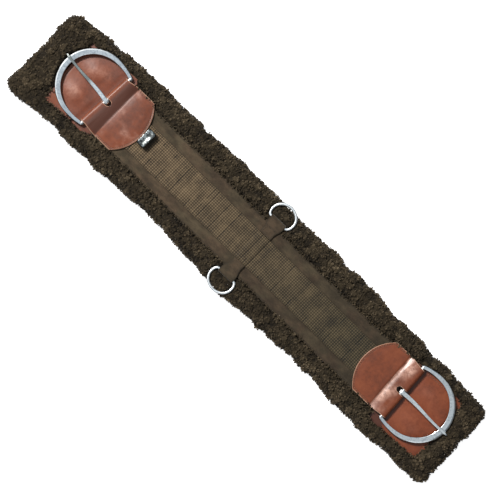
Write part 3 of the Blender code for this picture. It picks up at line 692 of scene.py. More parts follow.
def pad_reach(x, column):
    """Reach of the body along Y at x, rounded at the corners."""
    from_end = BODY_HALF - abs(x)
    reach = np.interp(x, OUTLINE[:, 0], OUTLINE[:, column]) - 2.6
    if from_end < CORNER_R:
        reach -= CORNER_R - math.sqrt(max(0.0, CORNER_R ** 2 - (CORNER_R - from_end) ** 2))
    return reach


def recess(x, y):
    """0 on the open border, 1 under the webbing and leather."""
    sunk = smooth01((47.0 - np.abs(y)) / 5.5) * smooth01((292.0 - np.abs(x - 6.0)) / 8.0)
    for end in ENDS.values():
        centre_x, centre_y, width, height, turn = end.safe
        u, v = turned(x, y, centre_x, centre_y, math.radians(turn))
        u, v = np.abs(u) - width / 2, np.abs(v) - height / 2
        sunk = np.maximum(sunk, smooth01((2.0 - u) / 6.0) * smooth01((2.0 - v) / 6.0))
        low, high = end.recess_x
        chape_part = smooth01((x - low + 4.0) / 6.0) * smooth01((high - x + 4.0) / 6.0) \
            * smooth01((54.5 - np.abs(y - 3.5)) / 6.0)
        sunk = np.maximum(sunk, chape_part)
    return sunk


def fleece_body():
    """The padded body before the pile: a crowned pad with a sunken middle."""
    inner, count = BODY_HALF - RIM_X[-1], 112
    xs = [-BODY_HALF + e for e in RIM_X]
    xs += [-inner + 2 * inner * i / count for i in range(1, count)]
    xs += [BODY_HALF - e for e in reversed(RIM_X)]
    rows = []
    for x in xs:
        back, front = pad_reach(x, 1), pad_reach(x, 2)
        low, high = -front + RIM_Y[-1], back - RIM_Y[-1]
        rows.append([-front + d for d in RIM_Y]
                    + [low + (high - low) * k / 11 for k in range(1, 11)]
                    + [back - d for d in reversed(RIM_Y)])
    y = np.array(rows)
    x = np.repeat(np.array(xs)[:, None], y.shape[1], 1)
    from_rim = np.minimum(BODY_HALF - np.abs(x), np.minimum(y[:, -1:] - y, y - y[:, :1]))
    swelling = rounded(from_rim / 12.0)
    top_z = RIM_Z + CROWN * swelling
    top_z += (SUNK_Z - top_z) * recess(x, y)
    # trimmed by hand: the outline wanders a little
    wobble = 1.9 * vnoise(plan(x, y), 33.0, 41) + 1.8 * vnoise(plan(x, y), 15.0, 42)
    y = y + np.sign(y) * wobble * smooth01(1.0 - (80.0 - np.abs(y)) / 26.0)
    x = x + np.sign(x) * wobble * smooth01(1.0 - (BODY_HALF - np.abs(x)) / 26.0)
    points = np.concatenate([np.stack([x, y, z], -1).reshape(-1, 3)
                             for z in (top_z, RIM_Z - BELLY * swelling)])
    offset = x.size
    faces = np.concatenate([grid_quads(*x.shape),
                            grid_quads(*x.shape, base=offset)[:, ::-1]])
    # both halves share the vertices of the upper rim
    index = np.arange(offset).reshape(x.shape)
    rim = np.concatenate([index[0], index[-1], index[:, 0], index[:, -1]])
    shared = np.arange(2 * offset)
    shared[rim + offset] = rim
    faces = shared[faces]
    used, packed = np.unique(faces, return_inverse=True)
    points = points[used]
    ob = fix_normals(new_mesh("fleece_body", points, packed.reshape(faces.shape)))
    # the middle, where the webbing and leather are sewn down, does not swell
    group = ob.vertex_groups.new(name="sewn")
    sewn = np.flatnonzero(recess(points[:, 0], points[:, 1]) > 0.35)
    group.add([int(i) for i in sewn], 1.0, "REPLACE")
    return ob


def swell(ob, cap_mm=3.0, frames=20, pressure=4.0):
    """Blow the pad up a little with cloth, then keep the shape it took."""
    before = np.array([v.co for v in ob.data.vertices])
    cloth = ob.modifiers.new("swell", "CLOTH")
    settings = cloth.settings
    settings.quality = 5
    settings.mass = 0.3
    settings.tension_stiffness = 12.0
    settings.compression_stiffness = 12.0
    settings.shear_stiffness = 5.0
    settings.bending_stiffness = 0.6
    settings.use_pressure = True
    settings.uniform_pressure_force = pressure
    settings.vertex_group_mass = "sewn"
    settings.effector_weights.gravity = 0.0
    cloth.point_cache.frame_start = 1
    cloth.point_cache.frame_end = frames
    for number in range(1, frames + 1):
        scene.frame_set(number)
    evaluated = ob.evaluated_get(bpy.context.evaluated_depsgraph_get())
    after = np.array([v.co for v in evaluated.data.vertices])
    ob.modifiers.clear()
    scene.frame_set(1)
    move = after - before
    length = np.linalg.norm(move, axis=1)
    cap = cap_mm * MM
    factor = np.where(length > cap, cap / np.maximum(length, 1e-9), 1.0)
    points = before + move * factor[:, None]
    points[:, 2] = np.maximum(points[:, 2], 0.0008)
    ob.data.vertices.foreach_set("co", points.astype(np.float32).ravel())
    ob.data.update()


def subdivide(ob):
    modifier = ob.modifiers.new("smooth", "SUBSURF")
    modifier.levels = modifier.render_levels = 2
    depsgraph = bpy.context.evaluated_depsgraph_get()
    mesh = bpy.data.meshes.new_from_object(ob.evaluated_get(depsgraph), depsgraph=depsgraph)
    coarse = ob.data
    ob.modifiers.clear()
    ob.data = mesh
    bpy.data.meshes.remove(coarse)


def scatter(points, radius, allowed):
    """Indices of allowed points at least radius apart, in a shuffled order."""
    order = np.flatnonzero(allowed)
    rng.shuffle(order)
    grid, chosen = {}, []
    cells = np.floor(points / radius).astype(int)
    radius_sq = radius * radius
    steps = list(itertools.product((-1, 0, 1), repeat=3))
    for index in order:
        i, j, k = cells[index]
        x, y, z = points[index]
        near = (q for di, dj, dk in steps for q in grid.get((i + di, j + dj, k + dk), ()))
        if not any((qx - x) ** 2 + (qy - y) ** 2 + (qz - z) ** 2 < radius_sq
                   for qx, qy, qz in near):
            chosen.append(index)
            grid.setdefault((i, j, k), []).append((x, y, z))
    return np.array(chosen)


def mesh_arrays(mesh):
    """Vertex places in mm and vertex normals."""
    arrays = []
    for key in ("co", "normal"):
        values = np.empty(len(mesh.vertices) * 3, np.float32)
        mesh.vertices.foreach_get(key, values)
        arrays.append(values.reshape(-1, 3).astype(float))
    return arrays[0] * 1000.0, arrays[1]


def press_fleece(points):
    """Keep the pile below everything that rests on the pad."""
    for i in np.flatnonzero(points[:, 2] > 7.0):
        x, y, z = points[i]
        limit = min(lowest((bvh_cover,), x, y, 1.6, CROSS), metal_limit(x, y, 2.4))
        safes = [under_z(bvh_safe, x + 2.6 * dx, y + 2.6 * dy) for dx, dy in CROSS]
        if all(height is not None for height in safes):
            limit = min(limit, min(safes))
        elif any(height is not None for height in safes) and z < 15.0:
            limit = min(limit, 11.7)
        if z > limit - 0.6:
            points[i, 2] = limit - 0.6
    x, y, z = points.T
    points[near_bar(x, y, 8.0, 56.0) & (z > 13.6), 2] = 13.6
    points[inside_bow(x, y, -2.0) & (z > 11.0), 2] = 11.0


def build_fleece():
    """The skin of the pad; returns it with the clump height and hue of each vertex."""
    ob = fleece_body()
    swell(ob)
    subdivide(ob)
    ob.name = "fleece_skin"
    points, normals = mesh_arrays(ob.data)
    # broad lumps, then rounded clumps of wool over the whole surface
    points = points + normals * (1.5 * vnoise(points, 25.0, 3)
                                 + 0.9 * vnoise(points, 12.0, 5))[:, None]
    seeds = scatter(points, 7.4, np.ones(len(points), bool))
    tree = KDTree(len(seeds))
    for k, i in enumerate(seeds):
        tree.insert(points[i], k)
    tree.balance()
    gap = np.empty(len(points))
    clump = np.empty(len(points), int)
    for i, point in enumerate(points):
        (_, clump[i], nearest), (_, _, second) = tree.find_n(point, 2)
        gap[i] = second - nearest
    lift = rng.uniform(0.45, 1.25, len(seeds))
    hue = rng.uniform(-1.0, 1.0, len(seeds))[clump]
    height = rounded(gap / 4.4) * lift[clump]
    underside = (normals[:, 2] < -0.55).astype(float)
    points = points + normals * ((3.9 * height - 1.9) * (1.0 - 0.65 * underside))[:, None]
    points[:, 2] = np.maximum(points[:, 2], 0.6)
    press_fleece(points)
    ob.data.vertices.foreach_set("co", (points * MM).astype(np.float32).ravel())
    ob.data.update()
    # painted shade: the skin is darker in the gaps between clumps and lighter on their crowns,
    # varied a little by each clump's hue
    set_attribute(ob.data, "tone", np.clip(0.30 * height ** 1.5 + 0.05 * hue, 0, 1))
    ob.data.materials.append(MAT_PILE)
    ob.data.shade_smooth()
    register(ob, "pile", "fleece_lining")
    return ob, height, hue


def settle_curls(path, radii):
    """Press locks below metal and lay them on leather; returns which may stay."""
    keep = np.ones(len(path), bool)
    for i in range(len(path)):
        if path[i, :, 2].max() < 9.0:
            continue
        for k in range(path.shape[1]):
            x, y, z = path[i, k]
            radius = radii[i, k]
            limit = metal_limit(x, y, 1.3 + radius)
            if z > limit - radius - 0.4:
                path[i, k, 2] = limit - radius - 0.4
                if z - path[i, k, 2] > 5.0:
                    keep[i] = False
                continue
            top = over_z(bvh_top, x, y)
            if top is not None and z < top + 0.75 * radius + 0.25:
                path[i, k, 2] = top + 0.75 * radius + 0.25
    x, y, z = path[..., 0], path[..., 1], path[..., 2]
    blocked = near_bar(x, y, 9.0, 57.0) & (z > 13.0)
    blocked |= inside_bow(x, y, -1.0) & (z > 14.0)
    # no wool inside the fold of a ring strap
    blocked |= (np.abs(x - RING_POS.x) < 16.0) & (np.abs(np.abs(y) - 51.5) < 6.5) & (z > 17.0)
    return keep & ~blocked.any(axis=1)


def curls(name, roots, normals, reach, segments, thickness, shade, toward=None):
    """Short spiral locks of wool; those without toward hang below the pad."""
    count, sides = len(roots), 4
    hanging = toward is None
    axis = normals.copy()
    axis += np.where(rng.random(count) < 0.5, 0.30, 0.95)[:, None] \
        * rng.normal(size=(count, 3))
    axis += 0.35 * normals
    if hanging:
        axis[:, 2] = np.minimum(axis[:, 2], -0.2)
    axis /= np.linalg.norm(axis, axis=1)[:, None]
    helper = np.where(np.abs(axis[:, 2:3]) > 0.8, np.array([[1.0, 0, 0]]),
                      np.array([[0, 0, 1.0]]))
    first = np.cross(axis, helper)
    first /= np.linalg.norm(first, axis=1)[:, None]
    second = np.cross(axis, first)
    turns = rng.uniform(0.75, 1.75, count) * rng.choice([-1.0, 1.0], count)
    phase = rng.uniform(0, TAU, count)
    width = rng.uniform(0.8, 2.1, count)
    rise = rng.uniform(0.35, 1.0, count) * reach
    lean = rng.uniform(-1.0, 1.0, (count, 2)) * 1.5
    thick = rng.uniform(0.62, 1.2, count) * thickness
    t = np.linspace(0.0, 1.0, segments + 1)
    angle = phase[:, None] + TAU * turns[:, None] * t
    swing = width[:, None] * (1.0 - 0.55 * t)
    lift = -0.7 + rise[:, None] * np.sin(t * 1.75)
    path = (roots[:, None] + axis[:, None] * lift[..., None]
            + first[:, None] * (swing * np.cos(angle) + lean[:, :1] * t)[..., None]
            + second[:, None] * (swing * np.sin(angle) + lean[:, 1:] * t)[..., None])
    if not hanging:
        path = path + toward[:, None] * (t[None, :, None] ** 0.8)
    side, up = cross_axes(path, axis[:, None] + 1e-3)
    profile = np.sqrt(np.clip(1.0 - (2.0 * t - 1.0) ** 6, 0.0, 1.0)) * (1.0 - 0.50 * t)
    profile[0], profile[-1] = 0.70, 0.16
    radii = thick[:, None] * profile
    keep = np.ones(count, bool) if hanging else settle_curls(path, radii)
    path[..., 2] = np.maximum(path[..., 2], 0.25 + radii)
    points = ring_points(path[keep], radii[keep], side[keep], up[keep], sides)
    per_lock = (segments + 1) * sides
    caps = np.array([list(range(sides)),
                     [segments * sides + k for k in reversed(range(sides))]])
    one = np.concatenate([grid_quads(segments + 1, sides, close_cols=True), caps])
    starts = np.arange(int(keep.sum())) * per_lock
    faces = (one[None] + starts[:, None, None]).reshape(-1, 4)
    # painted shade: each lock is darker at its root and lighter towards its tip
    tone = np.repeat((shade[keep][:, None] + 0.34 * (t - 0.35))[:, :, None], sides, 2)
    ob = new_mesh(name, points.reshape(-1, 3), faces,
                  {"tone": np.clip(tone, 0.0, 1.0).ravel()}, MAT_PILE)
    register(fix_normals(ob), "pile")


def build_curls(skin, height, hue):
    points, normals = mesh_arrays(skin.data)
    covered = np.zeros(len(points), bool)
    for i in np.flatnonzero(points[:, 2] > 7.0):
        x, y, z = points[i]
        covered[i] = any(z < (under_z(tree, x, y) or 0.0) for tree in (bvh_cover, bvh_safe))
    under_cover = np.flatnonzero(covered)
    cover_tree = KDTree(len(under_cover))
    for k, i in enumerate(under_cover):
        cover_tree.insert((points[i, 0], points[i, 1], 0.0), k)
    cover_tree.balance()
    patch = 0.5 + 0.5 * fbm(points, 34.0, 9)

    roots = scatter(points, 3.05, (normals[:, 2] > -0.35) & ~covered)
    # locks beside the webbing and leather lean over its edge
    toward = np.zeros((len(roots), 3))
    for k, i in enumerate(roots):
        x, y, z = points[i]
        if z < 12.0:
            continue
        near, _, distance = cover_tree.find((x, y, 0.0))
        if 0.01 < distance < 5.5:
            direction = np.array([near.x - x, near.y - y]) / distance
            toward[k, :2] = direction * rng.uniform(1.0, 3.6)
            toward[k, 2] = 1.4
    # painted shade: locks rooted in the gaps between clumps are darker; hue, patches and a
    # random part vary the wool's own colour
    shade = 0.02 + 0.40 * height[roots] + 0.13 * hue[roots] + 0.26 * (patch[roots] - 0.45) \
        + rng.uniform(-0.10, 0.16, len(roots))
    back, left = points[roots, 1] >= 0, points[roots, 0] < 0
    for row, in_row in (("back", back), ("front", ~back)):
        for side, in_side in (("left", left), ("right", ~left)):
            pick = in_row & in_side
            chosen = roots[pick]
            curls(f"fleece_curls_{row}_{side}", points[chosen], normals[chosen], reach=2.7,
                  segments=11, thickness=1.10, shade=shade[pick], toward=toward[pick])

    low = scatter(points, 4.9, normals[:, 2] <= -0.35)
    left = points[low, 0] < 0
    for side, pick in (("left", left), ("right", ~left)):
        chosen = low[pick]
        # painted shade: locks rooted in the gaps are darker; hue and a random part vary the
        # wool's own colour
        shade = 0.10 + 0.24 * height[chosen] + 0.10 * hue[chosen] \
            + rng.uniform(-0.08, 0.14, len(chosen))
        curls("fleece_curls_under_" + side, points[chosen], normals[chosen], reach=2.2,
              segments=7, thickness=1.15, shade=shade)


build_curls(*build_fleece())


# ------------------------------------------------------------------ stitches
def stitches(name, paths, thread, *covers, pitch, length, radius):
    """Separate, slightly slanted thread stitches along one or more lines."""
    stations, sides, slant = 7, 6, 0.10
    quads = grid_quads(stations, sides, close_cols=True)
    last_ring = (stations - 1) * sides
    points, faces, base = [], [], 0
    for path in paths:
        line, run = resample(path, 0.25)
        total = run[-1]
        count = int((total - length * 0.5) / pitch)
        for k in range(count):
            start = (total - count * pitch) / 2 + k * pitch + rng.uniform(-0.08, 0.08)
            t = np.linspace(start, start + length * rng.uniform(0.94, 1.04), stations)
            stitch = np.stack([np.interp(t, run, line[:, c]) for c in range(3)], -1)
            direction = stitch[-1] - stitch[0]
            direction /= np.linalg.norm(direction)
            side = np.array([-direction[1], direction[0], 0.0])
            centred = np.linspace(-1.0, 1.0, stations)
            stitch += side[None] * (slant * length * 0.5 * centred)[:, None]
            # the ends dive into the needle holes
            stitch[:, 2] += 0.10 - 0.62 * centred ** 4 + rng.uniform(-0.03, 0.03)
            radii = radius * np.sqrt(np.clip(1.0 - centred ** 6, 0.12, 1.0))
            axes = cross_axes(stitch, (0.0, 0.0, 1.0))
            points.append(ring_points(stitch, radii, *axes, sides).reshape(-1, 3))
            faces += [tuple(quad) for quad in quads + base]
            faces.append(tuple(base + i for i in range(sides)))
            faces.append(tuple(base + last_ring + i for i in reversed(range(sides))))
            base += stations * sides
    material_used, slot = thread
    ob = new_mesh(name, np.concatenate(points), faces, None, material_used)
    register(fix_normals(ob), slot, *covers)


# ------------------------------------------------------------------ webbing
def wide_web():
    xs = np.arange(WEB_LO[0], WEB_HI[0] + 0.01, 1.41)
    # column distances from the centre line, edge first
    columns = np.array([44.5, 44.2, 43.6, 43.0, 42.3, 41.4, 40.0, 37.5, 35.0, 32.5, 30.0,
                        28.2, 26.6, 25.2, 22.0, 12.0])
    ys = np.concatenate([-columns, [0.0], columns[::-1]])
    x, y = np.meshgrid(xs, ys, indexing="ij")
    ground = plan(x, y)
    off = np.abs(y)
    wobble = 0.35 * vnoise(ground * [1, 0, 0] + [0, 300, 0], 21.0, 61)
    edge_y = y + np.where(off > 40.0, np.sign(y) * (wobble - 0.15), 0.0)
    wave = 0.22 * fbm(ground, 38.0, 63) + 0.12 * vnoise(ground, 9.0, 64)
    rim = bell(off - 43.5, 0.7) * 0.14 - bell(off - WEB_SEAM_Y, 0.45) * 0.28
    roll = smooth01((off - 43.9) / 0.6)
    cords = 0.09 * np.sin((off - 25.0) * TAU / 2.15) * (off < 41.5)
    z = WEB_TOP + np.minimum(wave + rim + cords, 0.34) - 0.75 * roll
    top = np.stack([x, edge_y, np.minimum(z, 19.68)], -1)
    bottom = np.stack([x, edge_y, WEB_LO[2] + 0.05 + 0.5 * roll], -1)
    # painted shade in the seam groove and a painted shadow along the ribbed webbing's edge
    darkening = np.clip(bell(off - WEB_SEAM_Y, 0.8) * 0.7 + smooth01((27.0 - off) / 2.5) * 0.75,
                   0, 1)
    ob = closed_sheet("wide_webbing", top, bottom, {"darkening": (darkening, darkening * 0)}, MAT_BAND)
    register(ob, "band", "backing_web")


def ribbed_web():
    rib_pitch, half = 3.35, STRIP_HALF
    xs = np.arange(WEB_LO[0], WEB_HI[0] + 0.01, rib_pitch / 5.5)
    ys = np.concatenate([[-half, -half + 0.25], np.arange(-half + 0.6, half - 0.5, 0.56),
                         [half - 0.25, half]])
    x, y = np.meshgrid(xs, ys, indexing="ij")
    ground = plan(x, y)
    skew = 0.55 * fbm(ground, 60.0, 71, 2) + 0.22 * vnoise(ground, 7.0, 72)
    phase = (x + skew) / rib_pitch
    number = np.floor(phase).astype(int)
    rib = np.abs(np.sin(math.pi * phase)) ** 0.8
    warp = np.abs(np.sin(math.pi * (y + 0.15 * vnoise(ground, 11.0, 73)) / 3.3)) ** 1.3
    # every so often two ribs sit further apart, and painted shade makes the gap read as a dark
    # line
    zeros = np.zeros(800, int)
    wide_gaps = hash01(np.arange(-400, 400), zeros, zeros, 5) < 0.13
    gap = np.round(phase).astype(int)
    is_wide = wide_gaps[np.clip(gap + 400, 0, 799)]
    reach = vnoise(ground * [0, 1, 0], 17.0, 75) \
        + 0.8 * (hash01(gap, gap * 0, gap * 0, 9) - 0.1)
    near_gap = bell(phase - gap, 0.24) * is_wide * (reach > 0.05)
    height = rib * (0.62 + 0.38 * warp) - 0.6 * near_gap
    tonal = (hash01(number, number * 0 + 3, number * 0, 21) - 0.5) * 0.16
    edge = smooth01((np.abs(y) - (half - 1.1)) / 1.1)
    # a raised band across the strip, held by the two cross seams
    raised = smooth01((x + 5.0) / 4.0) * smooth01((17.5 - x) / 4.0)
    seams = sum(bell(x - seam_x, 0.9) for seam_x in CROSS_SEAMS_X)
    sag = 0.28 * fbm(ground, 45.0, 77) - 0.05
    # flat where the chapes cover it
    hidden = smooth01((-214.0 - x) / 12.0) + smooth01((x - 222.0) / 12.0)
    z = 21.30 + 0.58 * height \
        + (sag + 1.15 * raised - 0.45 * seams) * (1.0 - np.clip(hidden, 0, 1))
    z = np.where(hidden > 0.02, np.minimum(z, 21.9), z) - 0.85 * edge
    edge_y = y + np.sign(y) * 0.35 * vnoise(ground * [1, 0, 0], 15.0, 79) \
        * smooth01((np.abs(y) - 18) / 7)
    top = np.stack([x, edge_y, z], -1)
    bottom = np.stack([x, edge_y, STRIP_LO[2] + 0.05 + 0.35 * edge], -1)
    # painted shadow of the keeper on the webbing, reaching furthest on its +X side
    keeper_shadow = smooth01((KEEPER_HI[0] + 6.5 - x) / 2.0) \
        * smooth01((x - KEEPER_LO[0] + 1.5) / 1.5) \
        * smooth01((KEEPER_HI[1] + 0.5 - y) / 1.5) * smooth01((y - KEEPER_LO[1] + 1.5) / 1.5)
    tone = np.clip(0.03 + rib * (0.16 + 0.84 * warp) + tonal - 0.65 * near_gap
                   - 0.35 * seams - 0.8 * keeper_shadow, 0.0, 1.0)
    ob = closed_sheet("ribbed_webbing", top, bottom, {"rib": (tone, tone * 0)}, MAT_RIB)
    register(ob, "ribbed", "centre_web")


def web_seams():
    for name, sign in (("back", 1.0), ("front", -1.0)):
        y, z = sign * WEB_SEAM_Y, 19.42
        # the seam stops either side of the ring strap
        for side, start, stop in (("left", -250.0, RING_POS.x - 15.0),
                                  ("right", RING_POS.x + 15.0, 260.0)):
            stitches(f"web_stitches_{name}_{side}", [[(start, y, z), (stop, y, z)]],
                     DARK, f"web_seam_{name}_{side}", pitch=3.0, length=2.1, radius=0.34)
        y = sign * STRIP_SEAM_Y
        stitches("strip_stitches_" + name, [[(-232.0, y, 21.62), (-5.0, y, 21.66)],
                                            [(18.0, y, 21.66), (242.0, y, 21.62)]],
                 DARK, "strip_seam_" + name, pitch=3.0, length=2.1, radius=0.36)
    stitches("cross_stitches", [[(x, -22.5, 22.25), (x, 22.5, 22.25)] for x in CROSS_SEAMS_X],
             DARK, pitch=2.8, length=2.0, radius=0.36)


wide_web()
ribbed_web()
web_seams()


# ------------------------------------------------------------------ ring straps
def ring_strap(name, sign):
    """A short folded strip that holds the ring's straight bar."""
    half_t, bar_r, clearance = 0.6, 2.0, 0.3
    fold_r = bar_r + clearance + half_t
    fold_y, fold_z = RING_POS.y, RING_POS.z
    low, inner_y = 20.4, STRIP_HALF + 0.8
    high = low + 1.5
    line = [(inner_y, low), (31.0, low), (36.0, low), (41.0, low), (45.8, low - 0.05),
            (49.5, (low + fold_z - fold_r) / 2 - 0.35)]
    for k in range(13):
        angle = -math.pi / 2 + math.pi * k / 12
        line.append((fold_y + fold_r * math.cos(angle), fold_z + fold_r * math.sin(angle)))
    line += [(49.5, (high + fold_z + fold_r) / 2), (45.0, high + 0.15), (41.0, high),
             (36.0, high), (31.0, high), (inner_y, high)]
    line, _ = resample([(0.0, y, z) for y, z in line], 0.55)
    for _ in range(2):
        line[1:-1] = 0.25 * line[:-2] + 0.5 * line[1:-1] + 0.25 * line[2:]
    tangent = np.gradient(line, axis=0)
    tangent /= np.linalg.norm(tangent, axis=1)[:, None]
    normal_y, normal_z = tangent[:, 2:3], -tangent[:, 1:2]      # outward from the fold
    half_columns = np.array([0.25, 0.5, 0.72, 0.88, 0.95, 0.985, 1.0])
    across = np.concatenate([-half_columns[::-1], [0.0], half_columns])
    width = 10.2 + 3.4 * smooth01((line[:, 1] - 34.0) / 14.0)
    x = RING_POS.x + across[None] * width[:, None]
    thin = 1.0 - 0.45 * smooth01((np.abs(across) - 0.93) / 0.07)
    ribs = 0.05 * np.sin(np.arange(len(line)) * TAU / 4.0)
    thickness = half_t * thin[None] + np.minimum(ribs[:, None], 0.0)
    outer, inner = (np.stack([x, sign * (line[:, 1:2] + normal_y * t),
                              line[:, 2:3] + normal_z * t], -1)
                    for t in (thickness, -thickness))
    # darker along both edges of the strap
    darkening = 0.10 + 0.85 * smooth01((np.abs(across) - 0.82) / 0.16)
    darkening = np.repeat(darkening[None], len(line), 0)
    ob = closed_sheet("ring_strap_" + name, outer, inner, {"darkening": (darkening, darkening)}, MAT_BAND)
    register(ob, "band", "ring_tab_" + name)

    left, right = RING_POS.x - 7.6, RING_POS.x + 7.6
    near, far, z = sign * 28.2, sign * 40.0, high + half_t + 0.12
    corners = [(left, near, z), (right, near, z), (right, far, z), (left, far, z)]
    stitches("tab_stitches_" + name,
             [list(pair) for pair in zip(corners, corners[1:] + corners[:1])],
             DARK, "tab_seam_" + name, pitch=2.6, length=1.9, radius=0.34)


ring_strap("back", 1.0)
ring_strap("front", -1.0)

# ------------------------------------------------------------------ leather
LEATHER_T = 2.2
FOLD_R_IN = 3.3
CHAPE_Y0, CHAPE_Y1, FOLD_NARROW = -43.0, 50.0, 2.6
CHAPE_MID, CHAPE_HALF = (CHAPE_Y0 + CHAPE_Y1) / 2, (CHAPE_Y1 - CHAPE_Y0) / 2
SAFE_TOP, SAFE_BOTTOM, LOWER_Z = 14.1, 11.7, 15.0
SLOT_HALF = 4.6
LEATHER_SEAM = dict(pitch=3.6, length=2.6, radius=0.40)
LOWER, FOLD, SLOPE, TOP = range(4)      # parts of the chape's line, in order


def bar_line_x(end, y):
    return end.bar_x - math.tan(end.tilt) * (y - end.bar_y)


def crease_x(end, y):
    return end.bar_x - end.out * end.crease_back \
        - math.tan(math.radians(end.crease_tilt)) * (y - end.bar_y)


def tip_x(end, y):
    """The rounded tip of the chape, an arc through both shoulders and the apex."""
    half = CHAPE_HALF + 0.8
    rise = abs(end.shoulder_x - end.apex_x)
    radius = (half ** 2 + rise ** 2) / (2 * rise)
    drop = radius - math.sqrt(max(0.0, radius ** 2 - (y - CHAPE_MID) ** 2))
    return end.apex_x + end.out * drop


def ply_z(y):
    """Underside of the upper ply."""
    return 22.1 - 1.9 * float(smooth01((abs(y - 3.0) - 16.0) / 34.0))


def chape_line(end, y_full):
    """One line from the lower tip round the bar to the upper tip.

    Columns: x, y, z, normal x, normal z, part, fraction along the part.
    """
    n_low, n_fold, n_slope, n_top = 26, 26, 20, 34
    half_t, out = LEATHER_T / 2, end.out
    fold_r = FOLD_R_IN + half_t
    y_fold = CHAPE_MID + (y_full - CHAPE_MID) * (1.0 - FOLD_NARROW / CHAPE_HALF)
    bar, crease, tip = bar_line_x(end, y_fold), crease_x(end, y_full), tip_x(end, y_full)
    upper_z, fold_top = ply_z(y_full) + half_t, BAR_Z + fold_r
    rows = []
    for k in range(n_low + 1):
        t = (k / (n_low + 1)) ** 0.9
        y = y_full + (y_fold - y_full) * float(smooth01((t - 0.6) / 0.35))
        rows.append((tip + (bar - tip) * t, y, LOWER_Z + half_t, 0.0, -1.0, LOWER, t))
    for k in range(n_fold + 1):
        angle = -math.pi / 2 + math.pi * k / n_fold
        c, s = math.cos(angle), math.sin(angle)
        rows.append((bar + out * fold_r * c, y_fold, BAR_Z + fold_r * s, out * c, s,
                     FOLD, k / n_fold))
    for k in range(1, n_slope + 1):
        t = k / n_slope
        ease = 0.10 * t + 0.90 * max(0.0, (t - 0.30) / 0.70) ** 1.6
        rows.append((bar + (crease - bar) * t,
                     y_fold + (y_full - y_fold) * float(smooth01(t)),
                     fold_top + (upper_z - fold_top) * ease, 0.0, 1.0, SLOPE, t))
    for k in range(1, n_top + 1):
        t = 1.0 - (1.0 - k / n_top) ** 1.35
        rows.append((crease + (tip - crease) * t, y_full, upper_z, 0.0, 1.0, TOP, t))
    return np.array(rows)


def slot_half_widths(end):
    """Half width of the tongue's slot on every row of the chape."""
    middle = chape_line(end, end.bar_y)
    behind = np.maximum((middle[:, 0] - end.bar_x) * -end.out / end.slot_back, 0.0)
    half = SLOT_HALF * np.sqrt(np.clip(1.0 - behind ** 5, 0.0, 1.0))
    half[middle[:, 5] == FOLD] = SLOT_HALF
    half[middle[:, 5] == TOP] = 0.0
    return half


